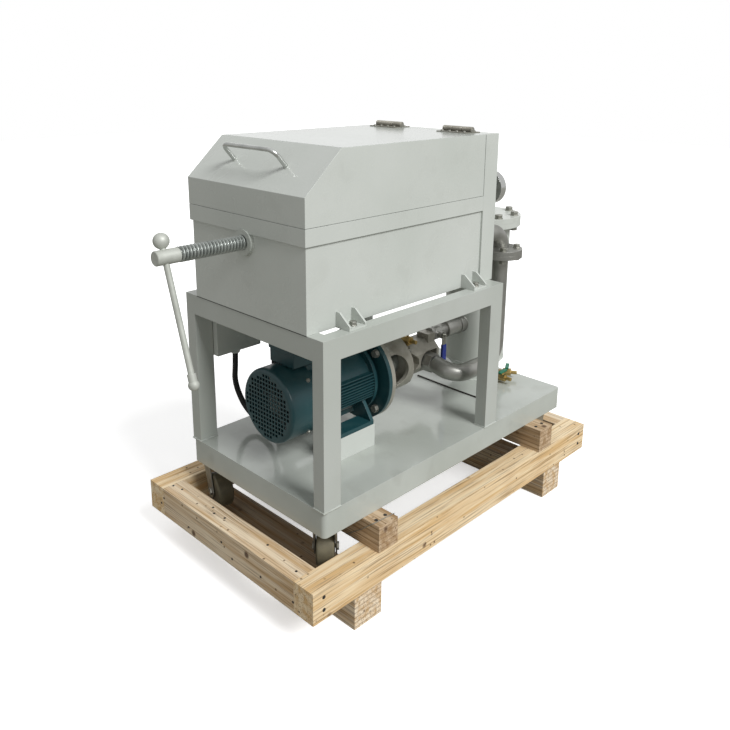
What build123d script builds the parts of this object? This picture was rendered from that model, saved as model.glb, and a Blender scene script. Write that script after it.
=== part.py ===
"""Plate-type oil filter press on its timber shipping skid.

Millimetres, +Z up. The screw end faces -Y and the length runs along +Y.
The origin is on the floor, under the machine's centreline, midway along the front skid bearer.
"""
import os
from math import cos, hypot, pi, radians, sin, tan

from build123d import *

os.makedirs("parts", exist_ok=True)

# Skid timbers
skid_width = 775
skid_length = 1345
skid_shift = -25
skid_nose = 200
bearer_width = 104
bearer_height = 98
bearer_spacing = 933
beam_width = 75
beam_height = 94
block_width = 75
block_height = 80
front_block_y = 77
rear_block_y = 875

# Machine base and stand
machine_front = -103
base_width = 600
base_length = 1160
base_height = 75
base_sheet = 5
base_corner = 14
caster_ledge_width = 90
stand_length = 760
stand_height = 473
tube_wide = 60
tube_narrow = 40

# Filter box
box_width = 482
box_length = 708
box_front_set = 1
box_height = 272
box_sheet = 5
rim_height = 45
rim_sheet = 6
housing_depth = 64
housing_sheet = 6
lid_height = 185
lid_front_height = 76
lid_slope_run = 120
lid_sheet = 4
lid_seat_gap = 1
lid_rear_gap = 2
window_border = 30
window_sheet = 5
window_lap = 12
window_corner = 12

# Lid handle and hinges
handle_span = 216
handle_reach = 60
handle_rod = 12
handle_bend = 24
handle_share = 0.51
hinge_centre = 142
hinge_length = 112
hinge_barrel = 16
hinge_pin = 8
hinge_leaf = 36
hinge_sheet = 3
hinge_gap = 1
pin_clearance = 0.06

# Screw press
screw_height = 201
screw_diameter = 40
screw_hub_diameter = 38
screw_hub_length = 66
screw_out = 268
screw_clearance = 0.3
nut_flange_diameter = 72
nut_flange_sheet = 9
nut_body_diameter = 60
nut_inside = 32
weld_gap = 0.2
bar_diameter = 16
bar_length = 318
bar_lean = 18
bar_set = 28
bar_clearance = 0.3
bar_collar_diameter = 22
bar_collar_length = 14
big_ball = 41
small_ball = 28
press_plate_sheet = 28
press_boss_diameter = 70
press_boss_length = 30
press_gap = 90
plate_size = 320
plate_sheet = 24
plate_recess = 5
frame_sheet = 22
plate_count = 9
plate_border = 26
ear_reach = 30
ear_height = 26
ear_drop = 20
rail_width = 16
rail_depth = 44
rail_side_gap = 5
slide_gap = 0.3

# Lugs between box and stand
lug_length = 108
lug_sheet = 6
lug_height = 40
lug_reach = 50
lug_front = 80
lug_rear = 594

# Motor
plinth_height = 72
plinth_width = 260
plinth_front = 190
plinth_length = 176
plinth_flange = 44
plinth_sheet = 6
shaft_height = 113
shaft_diameter = 38
rotor_clearance = 0.05
motor_front = 57
motor_flange_at = 411
motor_flange_diameter = 294
motor_flange_sheet = 14
shield_diameter = 222
shield_sheet = 12
barrel_diameter = 186
fin_reach = 16
fin_sheet = 3
fin_count = 9
fin_step = 9
fin_end_gap = 14
foot_width = 56
foot_sheet = 13
foot_web = 12
foot_front = 200
foot_length = 160
foot_web_high = 20
foot_web_low = 58
foot_web_root = 4
cowl_diameter = 222
cowl_length = 96
cowl_sheet = 3
cowl_edge = 12
grille_radius = 92
grille_hole = 9
grille_pitch = 13
terminal_width = 104
terminal_length = 104
terminal_height = 52
terminal_front = 114
terminal_lift = 3
terminal_pad = 72
terminal_lid = 12
terminal_lid_lap = 3
terminal_gland_rise = 24
fan_radius = 88
fan_hub = 56
fan_length = 44
fan_blades = 7
fan_sheet = 4
fan_setback = 22

# Lantern, coupling and pump
lantern_flange_sheet = 16
lantern_length = 175
lantern_diameter = 150
lantern_wall = 12
lantern_rim = 25
lantern_rim_reach = 4
lantern_window_back = 95
lantern_window = 80
lantern_shaft_gap = 2
coupling_diameter = 92
coupling_front = 46
coupling_length = 92
coupling_split = 4
pump_shaft_diameter = 24
pump_shaft_depth = 14
pump_shaft_gap = 2
pump_across = 114
pump_length = 157
pump_drop = 14
pump_pocket_depth = 26
pump_pocket_front = 12
pump_rib_back = 64
pump_rib = 10
pump_pocket_height = 96
pump_pocket_rear = 145
pump_boss_width = 50
pump_boss_length = 36
pump_boss_rise = 74
octagon_turn = 22.5

# Strainer tank
tank_diameter = 219
tank_back = 1036
tank_top = 128
tank_weld_drop = 390
tank_bottom_drop = 434
tank_dish_diameter = 140
tank_foot_diameter = 130
tank_flange_diameter = 288
tank_flange_sheet = 18

# Delivery pipe
pipe_diameter = 58
pipe_bend = 76
elbow_bend = 58
riser_x = 180
riser_ahead = 128
riser_stand_gap = 20
riser_joint = 55
riser_outlet = 126
riser_flange_diameter = 148
riser_flange_sheet = 14
delivery_drop = 24
delivery_low = 43
delivery_skew = 8
union_across = 58
union_gap = 1.5
union_length = 57

# Suction pipe and ball valve
suction_x = 12
suction_rise = 46
suction_diameter = 42
valve_length = 54
valve_body_diameter = 50
valve_nut_across = 46
valve_nut_length = 14
valve_stem_diameter = 12
valve_stem_reach = 42
valve_stem_clearance = 0.05
valve_bonnet_diameter = 26
valve_bonnet_reach = 40
valve_stem_head = 6
lever_length = 137
lever_width = 17
lever_sheet = 4
lever_sleeve_start = 32
lever_sleeve_width = 20
lever_sleeve_sheet = 8
collar_length = 92
collar_diameter = 62
collar_rim_diameter = 68
collar_rim = 10
collar_rim_setback = 12

# Sampling and drain cocks
cock_nipple = 14
cock_nipple_length = 10
cock_body = 24
cock_length = 30
cock_spout = 13
cock_spout_length = 22
cock_stem = 8
cock_stem_reach = 7
cock_lever_span = 46
cock_lever_width = 13
cock_lever_sheet = 6
sample_setback = 30
sample_rise = 18
sample_lever_length = 66
drain_swing_near = 4
drain_swing_far = 30
drain_rise = 22
drain_nipple_length = 48

# Gauge
gauge_x = 200
gauge_rise = 285
gauge_diameter = 104
gauge_case = 26
gauge_stem = 16
gauge_standoff = 20
gauge_bezel = 5
gauge_dial_depth = 4

# Control box and motor cable
control_width = 60
control_length = 162
control_height = 145
control_front = 62
control_gland_setback = 85
gland_across = 26
gland_length = 16
cable_diameter = 13

# Casters
caster_left_inset = 32
caster_right_inset = 57
caster_beam_clearance = 40
caster_back = 55
caster_rear_back = 1077
caster_wheel = 110
caster_height = 150
caster_tread = 50
caster_trail = 35
caster_plate = 62
caster_plate_sheet = 5
caster_race_diameter = 46
caster_race = 8
caster_race_gap = 0.3
caster_crown = 60
caster_fork_sheet = 4
caster_cheek = 40
caster_toe = 10
caster_side_gap = 3
caster_axle = 12
caster_axle_head = 20
caster_axle_head_sheet = 5
caster_clearance = 0.05
caster_wheel_chamfer = 4
left_heading = -15
right_heading = 135
rear_heading = 90

# Levels and stations that follow
floor = 0
beam_bottom = floor + bearer_height
beam_top = beam_bottom + beam_height
base_bottom = beam_top + block_height
deck_top = base_bottom + base_height
rail_top = deck_top + stand_height
rim_top = rail_top + box_height
lid_bottom = rim_top + lid_seat_gap
lid_top = rim_top + lid_height
box_front = machine_front - box_front_set
housing_front = machine_front + box_length
housing_rear = housing_front + housing_depth
outer_width = box_width + 2 * rim_sheet
screw_axis = rail_top + screw_height
plinth_top = deck_top + plinth_height
motor_axis = plinth_top + shaft_height
pump_axis = motor_axis - pump_drop
suction_axis = motor_axis + suction_rise
riser_back = max(tank_back - riser_ahead, stand_length + pipe_diameter / 2 + riser_stand_gap)
skid_inner_left = skid_shift - skid_width / 2 + beam_width
skid_inner_right = skid_shift + skid_width / 2 - beam_width
caster_left_x = min(base_width / 2 - caster_left_inset, -skid_inner_left - caster_beam_clearance)
caster_right_x = min(base_width / 2 - caster_right_inset, skid_inner_right - caster_beam_clearance)


def back(distance):
    """Y of a point so far behind the machine's front face."""
    return machine_front + distance


def upright(y):
    """Upright plane across the machine, drawn in X and Z; extrusions run towards -Y."""
    return Plane.XZ.offset(-y)


def finish(node, name):
    """Label one finished piece and write its file."""
    node.part.label = name
    export_step(node.part, f"parts/{name}.step")


# Skid: two bearers on the floor, a frame of beams on them and two blocks that carry the base
for bearer_name, bearer_y in (("front", 0), ("rear", bearer_spacing)):
    with BuildPart() as bearer:
        with BuildSketch(Plane.XY.offset(floor)):
            with Locations((skid_shift, bearer_y)):
                Rectangle(skid_width, bearer_width)
        extrude(amount=bearer_height)
    finish(bearer, f"skid_bearer_{bearer_name}")

for beam_name, beam_side in (("left", -1), ("right", 1)):
    with BuildPart() as side_beam:
        with BuildSketch(Plane.XY.offset(beam_bottom)):
            beam_x = skid_shift + beam_side * (skid_width - beam_width) / 2
            with Locations((beam_x, skid_length / 2 - skid_nose)):
                Rectangle(beam_width, skid_length)
        extrude(amount=beam_height)
    finish(side_beam, f"skid_beam_{beam_name}")

for beam_name, beam_y in (("front", beam_width / 2), ("rear", skid_length - beam_width / 2)):
    with BuildPart() as cross_beam:
        with BuildSketch(Plane.XY.offset(beam_bottom)):
            with Locations((skid_shift, beam_y - skid_nose)):
                Rectangle(skid_width - 2 * beam_width, beam_width)
        extrude(amount=beam_height)
    finish(cross_beam, f"skid_beam_{beam_name}")

for block_name, block_y in (("front", front_block_y), ("rear", rear_block_y)):
    with BuildPart() as block:
        with BuildSketch(Plane.XY.offset(beam_top)):
            with Locations((skid_shift, block_y)):
                Rectangle(skid_width, block_width)
        extrude(amount=block_height)
    finish(block, f"skid_block_{block_name}")

# Base: a folded deck, open below, with an angle ledge at each end for the casters
with BuildPart() as base_platform:
    with BuildSketch(Plane.XY.offset(base_bottom)):
        with Locations((0, back(base_length / 2))):
            RectangleRounded(base_width, base_length, base_corner)
    extrude(amount=base_height)
    with BuildSketch(Plane.XY.offset(base_bottom)):
        with Locations((0, back(base_length / 2))):
            RectangleRounded(
                base_width - 2 * base_sheet, base_length - 2 * base_sheet, base_corner - base_sheet
            )
    extrude(amount=base_height - base_sheet, mode=Mode.SUBTRACT)
    for ledge_back in (caster_back, caster_rear_back):
        with BuildSketch(Plane.YZ.offset(base_sheet - base_width / 2)):
            with Locations((back(ledge_back), base_bottom)):
                Rectangle(caster_ledge_width, base_sheet, align=(Align.CENTER, Align.MIN))
            with Locations((back(ledge_back - caster_ledge_width / 2), base_bottom)):
                Rectangle(base_sheet, base_height, align=(Align.MIN, Align.MIN))
        extrude(amount=base_width - 2 * base_sheet)
finish(base_platform, "base_platform")

# Stand: four posts of rectangular tube under a rectangle of rails
with BuildPart() as stand_frame:
    with BuildSketch(Plane.XY.offset(deck_top)):
        with Locations((0, back(stand_length / 2))):
            with GridLocations(base_width - tube_narrow, stand_length - tube_wide, 2, 2):
                Rectangle(tube_narrow, tube_wide)
    extrude(amount=stand_height - tube_wide)
    with BuildSketch(Plane.XY.offset(rail_top - tube_wide)):
        with Locations((0, back(stand_length / 2))):
            Rectangle(base_width, stand_length)
            Rectangle(
                base_width - 2 * tube_narrow, stand_length - 2 * tube_narrow, mode=Mode.SUBTRACT
            )
    extrude(amount=tube_wide)
finish(stand_frame, "stand_frame")

# Filter box: a tub with a front wall for the screw nut, open at the top and to the rear housing
box_middle = (box_front + housing_front) / 2
box_run = housing_front - box_front
with BuildPart() as filter_box:
    with BuildSketch(Plane.XY.offset(rail_top)):
        with Locations((0, box_middle)):
            Rectangle(box_width, box_run)
    extrude(amount=box_height)
    with BuildSketch(Plane.XY.offset(rail_top + box_sheet)):
        with Locations((0, box_front + box_sheet)):
            Rectangle(box_width - 2 * box_sheet, box_run, align=(Align.CENTER, Align.MIN))
    extrude(amount=box_height, mode=Mode.SUBTRACT)
    with BuildSketch(upright(box_front)):
        with Locations((0, screw_axis)):
            Circle(nut_body_diameter / 2 + weld_gap)
    extrude(amount=-box_sheet, mode=Mode.SUBTRACT)
finish(filter_box, "filter_box")

# Proud band round the top of the tub, notched round the nut's flange
with BuildPart() as box_rim:
    with BuildSketch(Plane.XY.offset(rim_top - rim_height)):
        with Locations((0, box_front - rim_sheet)):
            Rectangle(outer_width, box_run + rim_sheet, align=(Align.CENTER, Align.MIN))
        with Locations((0, box_front)):
            Rectangle(box_width, box_run, align=(Align.CENTER, Align.MIN), mode=Mode.SUBTRACT)
    extrude(amount=rim_height)
    with BuildSketch(upright(box_front)):
        with Locations((0, screw_axis)):
            Circle(nut_flange_diameter / 2 + weld_gap)
    extrude(amount=rim_sheet, mode=Mode.SUBTRACT)
finish(box_rim, "box_rim")

# Rear housing: a full-height hollow column that closes the tub and the lid
with BuildPart() as rear_housing:
    with BuildSketch(Plane.XY.offset(rail_top)):
        with Locations((0, housing_front + housing_depth / 2)):
            Rectangle(outer_width, housing_depth)
    extrude(amount=lid_top - rail_top)
    with BuildSketch(Plane.XY.offset(rail_top)):
        with Locations((0, housing_front + housing_depth / 2)):
            Rectangle(outer_width - 2 * housing_sheet, housing_depth - 2 * housing_sheet)
    extrude(amount=lid_top - rail_top - housing_sheet, mode=Mode.SUBTRACT)
finish(rear_housing, "rear_housing")

# Lugs: an angle with two gussets, from the tub's side to the rail
with BuildPart() as box_lugs:
    for lug_side in (-1, 1):
        for lug_back in (lug_front, lug_rear):
            lug_x = lug_side * box_width / 2
            with BuildSketch(upright(back(lug_back))):
                with BuildLine():
                    Polyline(
                        (lug_x, rail_top),
                        (lug_x + lug_side * lug_reach, rail_top),
                        (lug_x + lug_side * lug_reach, rail_top + lug_sheet),
                        (lug_x + lug_side * lug_sheet, rail_top + lug_sheet),
                        (lug_x + lug_side * lug_sheet, rail_top + lug_height),
                        (lug_x, rail_top + lug_height),
                        close=True,
                    )
                make_face()
            extrude(amount=-lug_length)
            for gusset_back in (lug_back + lug_sheet, lug_back + lug_length - 2 * lug_sheet):
                with BuildSketch(upright(back(gusset_back))):
                    with BuildLine():
                        Polyline(
                            (lug_x + lug_side * lug_sheet, rail_top + lug_sheet),
                            (lug_x + lug_side * lug_reach, rail_top + lug_sheet),
                            (lug_x + lug_side * lug_sheet, rail_top + lug_height),
                            close=True,
                        )
                    make_face()
                extrude(amount=-lug_sheet)
finish(box_lugs, "box_lugs")

# Lid: folded sheet with an upright front, a slope and a flat top, open below and at the rear
lid_front = box_front - rim_sheet
lid_rear = housing_front - lid_rear_gap
slope_bottom = rim_top + lid_front_height
with BuildPart() as lid:
    with BuildSketch(Plane.YZ.offset(-outer_width / 2)):
        with BuildLine():
            Polyline(
                (lid_front, lid_bottom),
                (lid_front, slope_bottom),
                (lid_front + lid_slope_run, lid_top),
                (lid_rear, lid_top),
                (lid_rear, lid_bottom),
                close=True,
            )
        make_face()
    extrude(amount=outer_width)
    offset(
        amount=-lid_sheet,
        kind=Kind.INTERSECTION,
        openings=[lid.faces().sort_by(Axis.Z)[0], lid.faces().sort_by(Axis.Y)[-1]],
    )
    window_front = lid_front + lid_slope_run + window_border
    window_rear = lid_rear - window_border - hinge_leaf
    with BuildSketch(Plane.XY.offset(lid_top)):
        with Locations((0, (window_front + window_rear) / 2)):
            RectangleRounded(outer_width - 2 * window_border, window_rear - window_front, window_corner)
    extrude(amount=-lid_sheet, mode=Mode.SUBTRACT)
finish(lid, "lid")

# Clear pane bonded under the top sheet of the lid
with BuildPart() as lid_window:
    with BuildSketch(Plane.XY.offset(lid_top - lid_sheet)):
        with Locations((0, (window_front + window_rear) / 2)):
            Rectangle(
                outer_width - 2 * window_border + 2 * window_lap,
                window_rear - window_front + 2 * window_lap,
            )
    extrude(amount=-window_sheet)
finish(lid_window, "lid_window")

# Bent-rod handle standing square to the slope
slope_rise = lid_top - slope_bottom
slope_length = hypot(lid_slope_run, slope_rise)
handle_foot = (
    0,
    lid_front + handle_share * lid_slope_run,
    slope_bottom + handle_share * slope_rise,
)
handle_plane = Plane(
    origin=handle_foot,
    x_dir=(1, 0, 0),
    z_dir=(0, -lid_slope_run / slope_length, -slope_rise / slope_length),
)
with BuildPart() as lid_handle:
    with BuildLine(handle_plane) as handle_path:
        FilletPolyline(
            (-handle_span / 2, 0),
            (-handle_span / 2, handle_reach),
            (handle_span / 2, handle_reach),
            (handle_span / 2, 0),
            radius=handle_bend,
        )
    with BuildSketch(Plane(origin=handle_path.line @ 0, z_dir=handle_path.line % 0)):
        Circle(handle_rod / 2)
    sweep()
finish(lid_handle, "lid_handle")

# Hinges: the lid leaf carries the middle knuckle, the housing leaf the outer two and the pin
hinge_y = housing_front - lid_rear_gap / 2
hinge_z = lid_top + hinge_barrel / 2 + slide_gap
knuckle = hinge_length / 3
hinge_tongue = hinge_barrel / 2 + 2 * hinge_gap


def hinge_leaves(direction, shares, bore):
    """One leaf for each hinge, with its knuckles at shares of the knuckle length."""
    with BuildPart() as leaves:
        for side in (-1, 1):
            for share in shares:
                start = side * hinge_centre + (share - 0.5) * knuckle + hinge_gap / 2
                with BuildSketch(Plane.YZ.offset(start)):
                    with Locations((hinge_y, hinge_z)):
                        Circle(hinge_barrel / 2)
                    with Locations((hinge_y + direction * hinge_tongue / 2, lid_top)):
                        Rectangle(hinge_tongue, hinge_sheet, align=(Align.CENTER, Align.MIN))
                    with Locations((hinge_y, hinge_z)):
                        Circle(bore / 2, mode=Mode.SUBTRACT)
                extrude(amount=knuckle - hinge_gap)
            leaf_y = hinge_y + direction * (hinge_tongue + hinge_leaf) / 2
            with BuildSketch(Plane.XY.offset(lid_top)):
                with Locations((side * hinge_centre, leaf_y)):
                    Rectangle(hinge_length, hinge_leaf - hinge_tongue)
            extrude(amount=hinge_sheet)
    return leaves.part


with BuildPart() as lid_hinge_leaves:
    add(hinge_leaves(-1, (0,), hinge_pin + 2 * pin_clearance))
finish(lid_hinge_leaves, "lid_hinge_leaves")

with BuildPart() as housing_hinge_leaves:
    add(hinge_leaves(1, (-1, 1), hinge_pin))
    for pin_side in (-1, 1):
        with BuildSketch(Plane.YZ.offset(pin_side * hinge_centre - hinge_length / 2)):
            with Locations((hinge_y, hinge_z)):
                Circle(hinge_pin / 2)
        extrude(amount=hinge_length)
finish(housing_hinge_leaves, "housing_hinge_leaves")

# Screw nut welded through the front wall
with BuildPart() as screw_nut:
    with BuildSketch(upright(box_front)):
        with Locations((0, screw_axis)):
            Circle(nut_flange_diameter / 2)
    extrude(amount=nut_flange_sheet)
    with BuildSketch(upright(box_front)):
        with Locations((0, screw_axis)):
            Circle(nut_body_diameter / 2)
    extrude(amount=-(box_sheet + nut_inside))
    with BuildSketch(upright(box_front - nut_flange_sheet)):
        with Locations((0, screw_axis)):
            Circle(screw_diameter / 2 + screw_clearance)
    extrude(amount=-(nut_flange_sheet + box_sheet + nut_inside), mode=Mode.SUBTRACT)
finish(screw_nut, "screw_nut")

# Filter pack: recessed plates and open frames, hung by their ears on two rails
pack_length = plate_count * (plate_sheet + frame_sheet)
pack_front = housing_front - pack_length
rail_top_height = screw_axis + ear_drop
rail_x = plate_size / 2 + rail_side_gap + rail_width / 2


def plate_outline():
    """Square plate with an ear on each side that sits on the rails."""
    with Locations((0, screw_axis)):
        Rectangle(plate_size, plate_size)
    with Locations((0, rail_top_height)):
        Rectangle(plate_size + 2 * ear_reach, ear_height, align=(Align.CENTER, Align.MIN))


with BuildPart() as filter_plates:
    for index in range(plate_count):
        plate_y = pack_front + index * (plate_sheet + frame_sheet)
        with BuildSketch(upright(plate_y)):
            plate_outline()
        extrude(amount=-plate_sheet)
        for recess_y, recess_way in ((plate_y, -1), (plate_y + plate_sheet, 1)):
            with BuildSketch(upright(recess_y)):
                with Locations((0, screw_axis)):
                    Rectangle(plate_size - 2 * plate_border, plate_size - 2 * plate_border)
            extrude(amount=recess_way * plate_recess, mode=Mode.SUBTRACT)
finish(filter_plates, "filter_plates")

with BuildPart() as filter_frames:
    for index in range(plate_count):
        frame_y = pack_front + index * (plate_sheet + frame_sheet) + plate_sheet
        with BuildSketch(upright(frame_y)):
            plate_outline()
            with Locations((0, screw_axis)):
                Rectangle(
                    plate_size - 2 * plate_border, plate_size - 2 * plate_border, mode=Mode.SUBTRACT
                )
        extrude(amount=-frame_sheet)
finish(filter_frames, "filter_frames")

with BuildPart() as plate_rails:
    rail_start = box_front + box_sheet
    with BuildSketch(Plane.XY.offset(rail_top_height)):
        with Locations((0, (rail_start + housing_front) / 2)):
            with GridLocations(2 * rail_x, 1, 2, 1):
                Rectangle(rail_width, housing_front - rail_start)
    extrude(amount=-rail_depth)
finish(plate_rails, "plate_rails")

# Press plate: pushed by the screw, sliding on the rails in front of the pack
press_rear = pack_front - press_gap
press_front = press_rear - press_plate_sheet
socket_bottom = press_front - slide_gap
with BuildPart() as press_plate:
    with BuildSketch(upright(press_rear)):
        with Locations((0, screw_axis)):
            Rectangle(plate_size, plate_size)
        with Locations((0, rail_top_height + slide_gap)):
            Rectangle(plate_size + 2 * ear_reach, ear_height, align=(Align.CENTER, Align.MIN))
    extrude(amount=press_plate_sheet)
    with BuildSketch(upright(press_front)):
        with Locations((0, screw_axis)):
            Circle(press_boss_diameter / 2)
            Circle(screw_diameter / 2 + screw_clearance, mode=Mode.SUBTRACT)
    extrude(amount=press_boss_length)
finish(press_plate, "press_plate")

# Spindle: threaded length through the nut and a plain hub with a cross hole for the bar
hub_front = back(-screw_out)
hub_rear = hub_front + screw_hub_length
bar_y = hub_front + bar_set
bar_down = (sin(radians(bar_lean)), 0, -cos(radians(bar_lean)))
bar_plane = Plane(origin=(0, bar_y, screw_axis), x_dir=(0, 1, 0), z_dir=bar_down)
with BuildPart() as press_spindle:
    with BuildSketch(upright(hub_rear)):
        with Locations((0, screw_axis)):
            Circle(screw_diameter / 2)
    extrude(amount=-(socket_bottom - hub_rear))
    with BuildSketch(upright(hub_rear)):
        with Locations((0, screw_axis)):
            Circle(screw_hub_diameter / 2)
    extrude(amount=screw_hub_length)
    with BuildSketch(bar_plane):
        Circle(bar_diameter / 2 + bar_clearance)
    extrude(amount=screw_hub_diameter, both=True, mode=Mode.SUBTRACT)
finish(press_spindle, "press_spindle")

# Tommy bar: a rod through the hub with a large ball on top and a small one on a collar below
ball_up = (screw_hub_diameter + big_ball) / 2 + slide_gap
with BuildPart(bar_plane) as tommy_bar:
    with Locations((0, 0, -ball_up)):
        Cylinder(bar_diameter / 2, bar_length + ball_up, align=(Align.CENTER, Align.CENTER, Align.MIN))
        Sphere(big_ball / 2)
    with Locations((0, 0, bar_length)):
        Sphere(small_ball / 2)
        Cylinder(
            bar_collar_diameter / 2,
            bar_collar_length + small_ball / 2,
            align=(Align.CENTER, Align.CENTER, Align.MAX),
        )
finish(tommy_bar, "tommy_bar")

# Motor plinth: two channels on the deck, open towards each other
with BuildPart() as motor_plinth:
    for plinth_side in (-1, 1):
        plinth_x = plinth_side * plinth_width / 2
        with BuildSketch(upright(back(plinth_front))):
            web_align = Align.MAX if plinth_side > 0 else Align.MIN
            with Locations((plinth_x, deck_top)):
                Rectangle(plinth_sheet, plinth_height, align=(web_align, Align.MIN))
                Rectangle(plinth_flange, plinth_sheet, align=(web_align, Align.MIN))
            with Locations((plinth_x, plinth_top)):
                Rectangle(plinth_flange, plinth_sheet, align=(web_align, Align.MAX))
        extrude(amount=-plinth_length)
finish(motor_plinth, "motor_plinth")

# Motor: ribbed barrel between two end shields, a mounting flange and cast feet
cowl_rear = back(motor_front + cowl_length)
barrel_front = cowl_rear + shield_sheet
flange_front = back(motor_flange_at)
flange_face = flange_front + motor_flange_sheet
fin_front = barrel_front + fin_end_gap / 2
fin_rear = flange_front - shield_sheet - fin_end_gap
web_radius = barrel_diameter / 2 - foot_web_root
high = radians(foot_web_high)
low = radians(foot_web_low)
with BuildPart() as motor_body:
    with BuildSketch(upright(cowl_rear)):
        with Locations((0, motor_axis)):
            Circle(shield_diameter / 2)
    extrude(amount=-shield_sheet)
    with BuildSketch(upright(barrel_front)):
        with Locations((0, motor_axis)):
            Circle(barrel_diameter / 2)
    extrude(amount=-(flange_front - barrel_front))
    with BuildSketch(upright(fin_front)):
        with Locations((0, motor_axis)):
            with GridLocations(1, fin_step, 1, fin_count):
                Rectangle(barrel_diameter + 2 * fin_reach, fin_sheet)
            with GridLocations(fin_step, 1, fin_count, 1):
                Rectangle(fin_sheet, barrel_diameter + 2 * fin_reach)
            Circle(barrel_diameter / 2 + fin_reach, mode=Mode.INTERSECT)
    extrude(amount=-(fin_rear - fin_front))
    with BuildSketch(upright(fin_rear)):
        with Locations((0, motor_axis)):
            Circle(shield_diameter / 2)
    extrude(amount=-shield_sheet)
    with BuildSketch(upright(flange_front)):
        with Locations((0, motor_axis)):
            Circle(motor_flange_diameter / 2)
    extrude(amount=-motor_flange_sheet)
    with BuildSketch(Plane.XY.offset(motor_axis)):
        with Locations((0, barrel_front)):
            pad_length = back(terminal_front + terminal_length) - barrel_front
            Rectangle(terminal_pad, pad_length, align=(Align.CENTER, Align.MIN))
    extrude(amount=barrel_diameter / 2 + fin_reach + terminal_lift)
    for foot_side in (-1, 1):
        foot_outer = foot_side * plinth_width / 2
        foot_inner = foot_outer - foot_side * foot_width
        with BuildSketch(upright(back(foot_front))):
            with Locations(((foot_outer + foot_inner) / 2, plinth_top)):
                Rectangle(foot_width, foot_sheet, align=(Align.CENTER, Align.MIN))
        extrude(amount=-foot_length)
        for web_back in (foot_front, foot_front + foot_length - foot_web):
            with BuildSketch(upright(back(web_back))):
                with BuildLine():
                    Polyline(
                        (foot_outer, plinth_top),
                        (foot_outer, plinth_top + foot_sheet),
                        (foot_side * web_radius * cos(high), motor_axis - web_radius * sin(high)),
                        (foot_side * web_radius * cos(low), motor_axis - web_radius * sin(low)),
                        (foot_inner, plinth_top),
                        close=True,
                    )
                make_face()
            extrude(amount=-foot_web)
    with BuildSketch(upright(cowl_rear)):
        with Locations((0, motor_axis)):
            Circle(shaft_diameter / 2 + rotor_clearance)
    extrude(amount=-(flange_face - cowl_rear), mode=Mode.SUBTRACT)
finish(motor_body, "motor_body")

# Fan cowl: a rounded cup with square holes in its face
with BuildPart() as fan_cowl:
    with BuildSketch(upright(cowl_rear)):
        with Locations((0, motor_axis)):
            Circle(cowl_diameter / 2)
    extrude(amount=cowl_length)
    fillet(fan_cowl.edges().filter_by(GeomType.CIRCLE).sort_by(Axis.Y)[0], cowl_edge)
    offset(amount=-cowl_sheet, openings=fan_cowl.faces().sort_by(Axis.Y)[-1])
    grille_half = int(grille_radius / grille_pitch)
    grille_spots = [
        (column * grille_pitch, motor_axis + row * grille_pitch)
        for column in range(-grille_half, grille_half + 1)
        for row in range(-grille_half, grille_half + 1)
        if hypot(column, row) * grille_pitch < grille_radius
    ]
    with BuildSketch(upright(back(motor_front))):
        with Locations(*grille_spots):
            Rectangle(grille_hole, grille_hole)
    extrude(amount=-cowl_sheet, mode=Mode.SUBTRACT)
finish(fan_cowl, "fan_cowl")

# Terminal box on top of the motor, with a cable gland on its left
terminal_bottom = motor_axis + barrel_diameter / 2 + fin_reach + terminal_lift
terminal_y = back(terminal_front + terminal_length / 2)
terminal_gland_z = terminal_bottom + terminal_gland_rise
with BuildPart() as terminal_box:
    with BuildSketch(Plane.XY.offset(terminal_bottom)):
        with Locations((0, terminal_y)):
            Rectangle(terminal_width, terminal_length)
    extrude(amount=terminal_height - terminal_lid)
    with BuildSketch(Plane.XY.offset(terminal_bottom + terminal_height - terminal_lid)):
        with Locations((0, terminal_y)):
            Rectangle(terminal_width + 2 * terminal_lid_lap, terminal_length + 2 * terminal_lid_lap)
    extrude(amount=terminal_lid)
    with BuildSketch(Plane.YZ.offset(-terminal_width / 2)):
        with Locations((terminal_y, terminal_gland_z)):
            RegularPolygon(gland_across / 2, 6, major_radius=False)
    extrude(amount=-gland_length)
finish(terminal_box, "terminal_box")

# Rotor: shaft with the fan at one end and the coupling at the other, turning in the motor
fan_front = back(motor_front) + cowl_sheet + fan_setback
coupling_start = flange_face + coupling_front
coupling_end = coupling_start + coupling_length
lantern_end = flange_face + lantern_length
with BuildPart() as motor_rotor:
    with BuildSketch(upright(fan_front)):
        with Locations((0, motor_axis)):
            Circle(shaft_diameter / 2)
    extrude(amount=-(coupling_end - coupling_split - fan_front))
    with BuildSketch(upright(fan_front)):
        with Locations((0, motor_axis)):
            Circle(fan_hub / 2)
            with PolarLocations(fan_radius / 2, fan_blades):
                Rectangle(fan_radius, fan_sheet)
    extrude(amount=-fan_length)
    with BuildSketch(upright(coupling_start)):
        with Locations((0, motor_axis)):
            Circle(coupling_diameter / 2)
    extrude(amount=-coupling_length)
    with BuildSketch(upright(coupling_start + coupling_length / 2 - coupling_split / 2)):
        with Locations((0, motor_axis)):
            Circle(coupling_diameter / 2)
            Circle(coupling_diameter / 2 - coupling_split, mode=Mode.SUBTRACT)
    extrude(amount=-coupling_split, mode=Mode.SUBTRACT)
    with BuildSketch(upright(coupling_end)):
        with Locations((0, motor_axis)):
            Circle(pump_shaft_diameter / 2)
    extrude(amount=-(lantern_end + pump_shaft_depth - coupling_end))
finish(motor_rotor, "motor_rotor")

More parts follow.
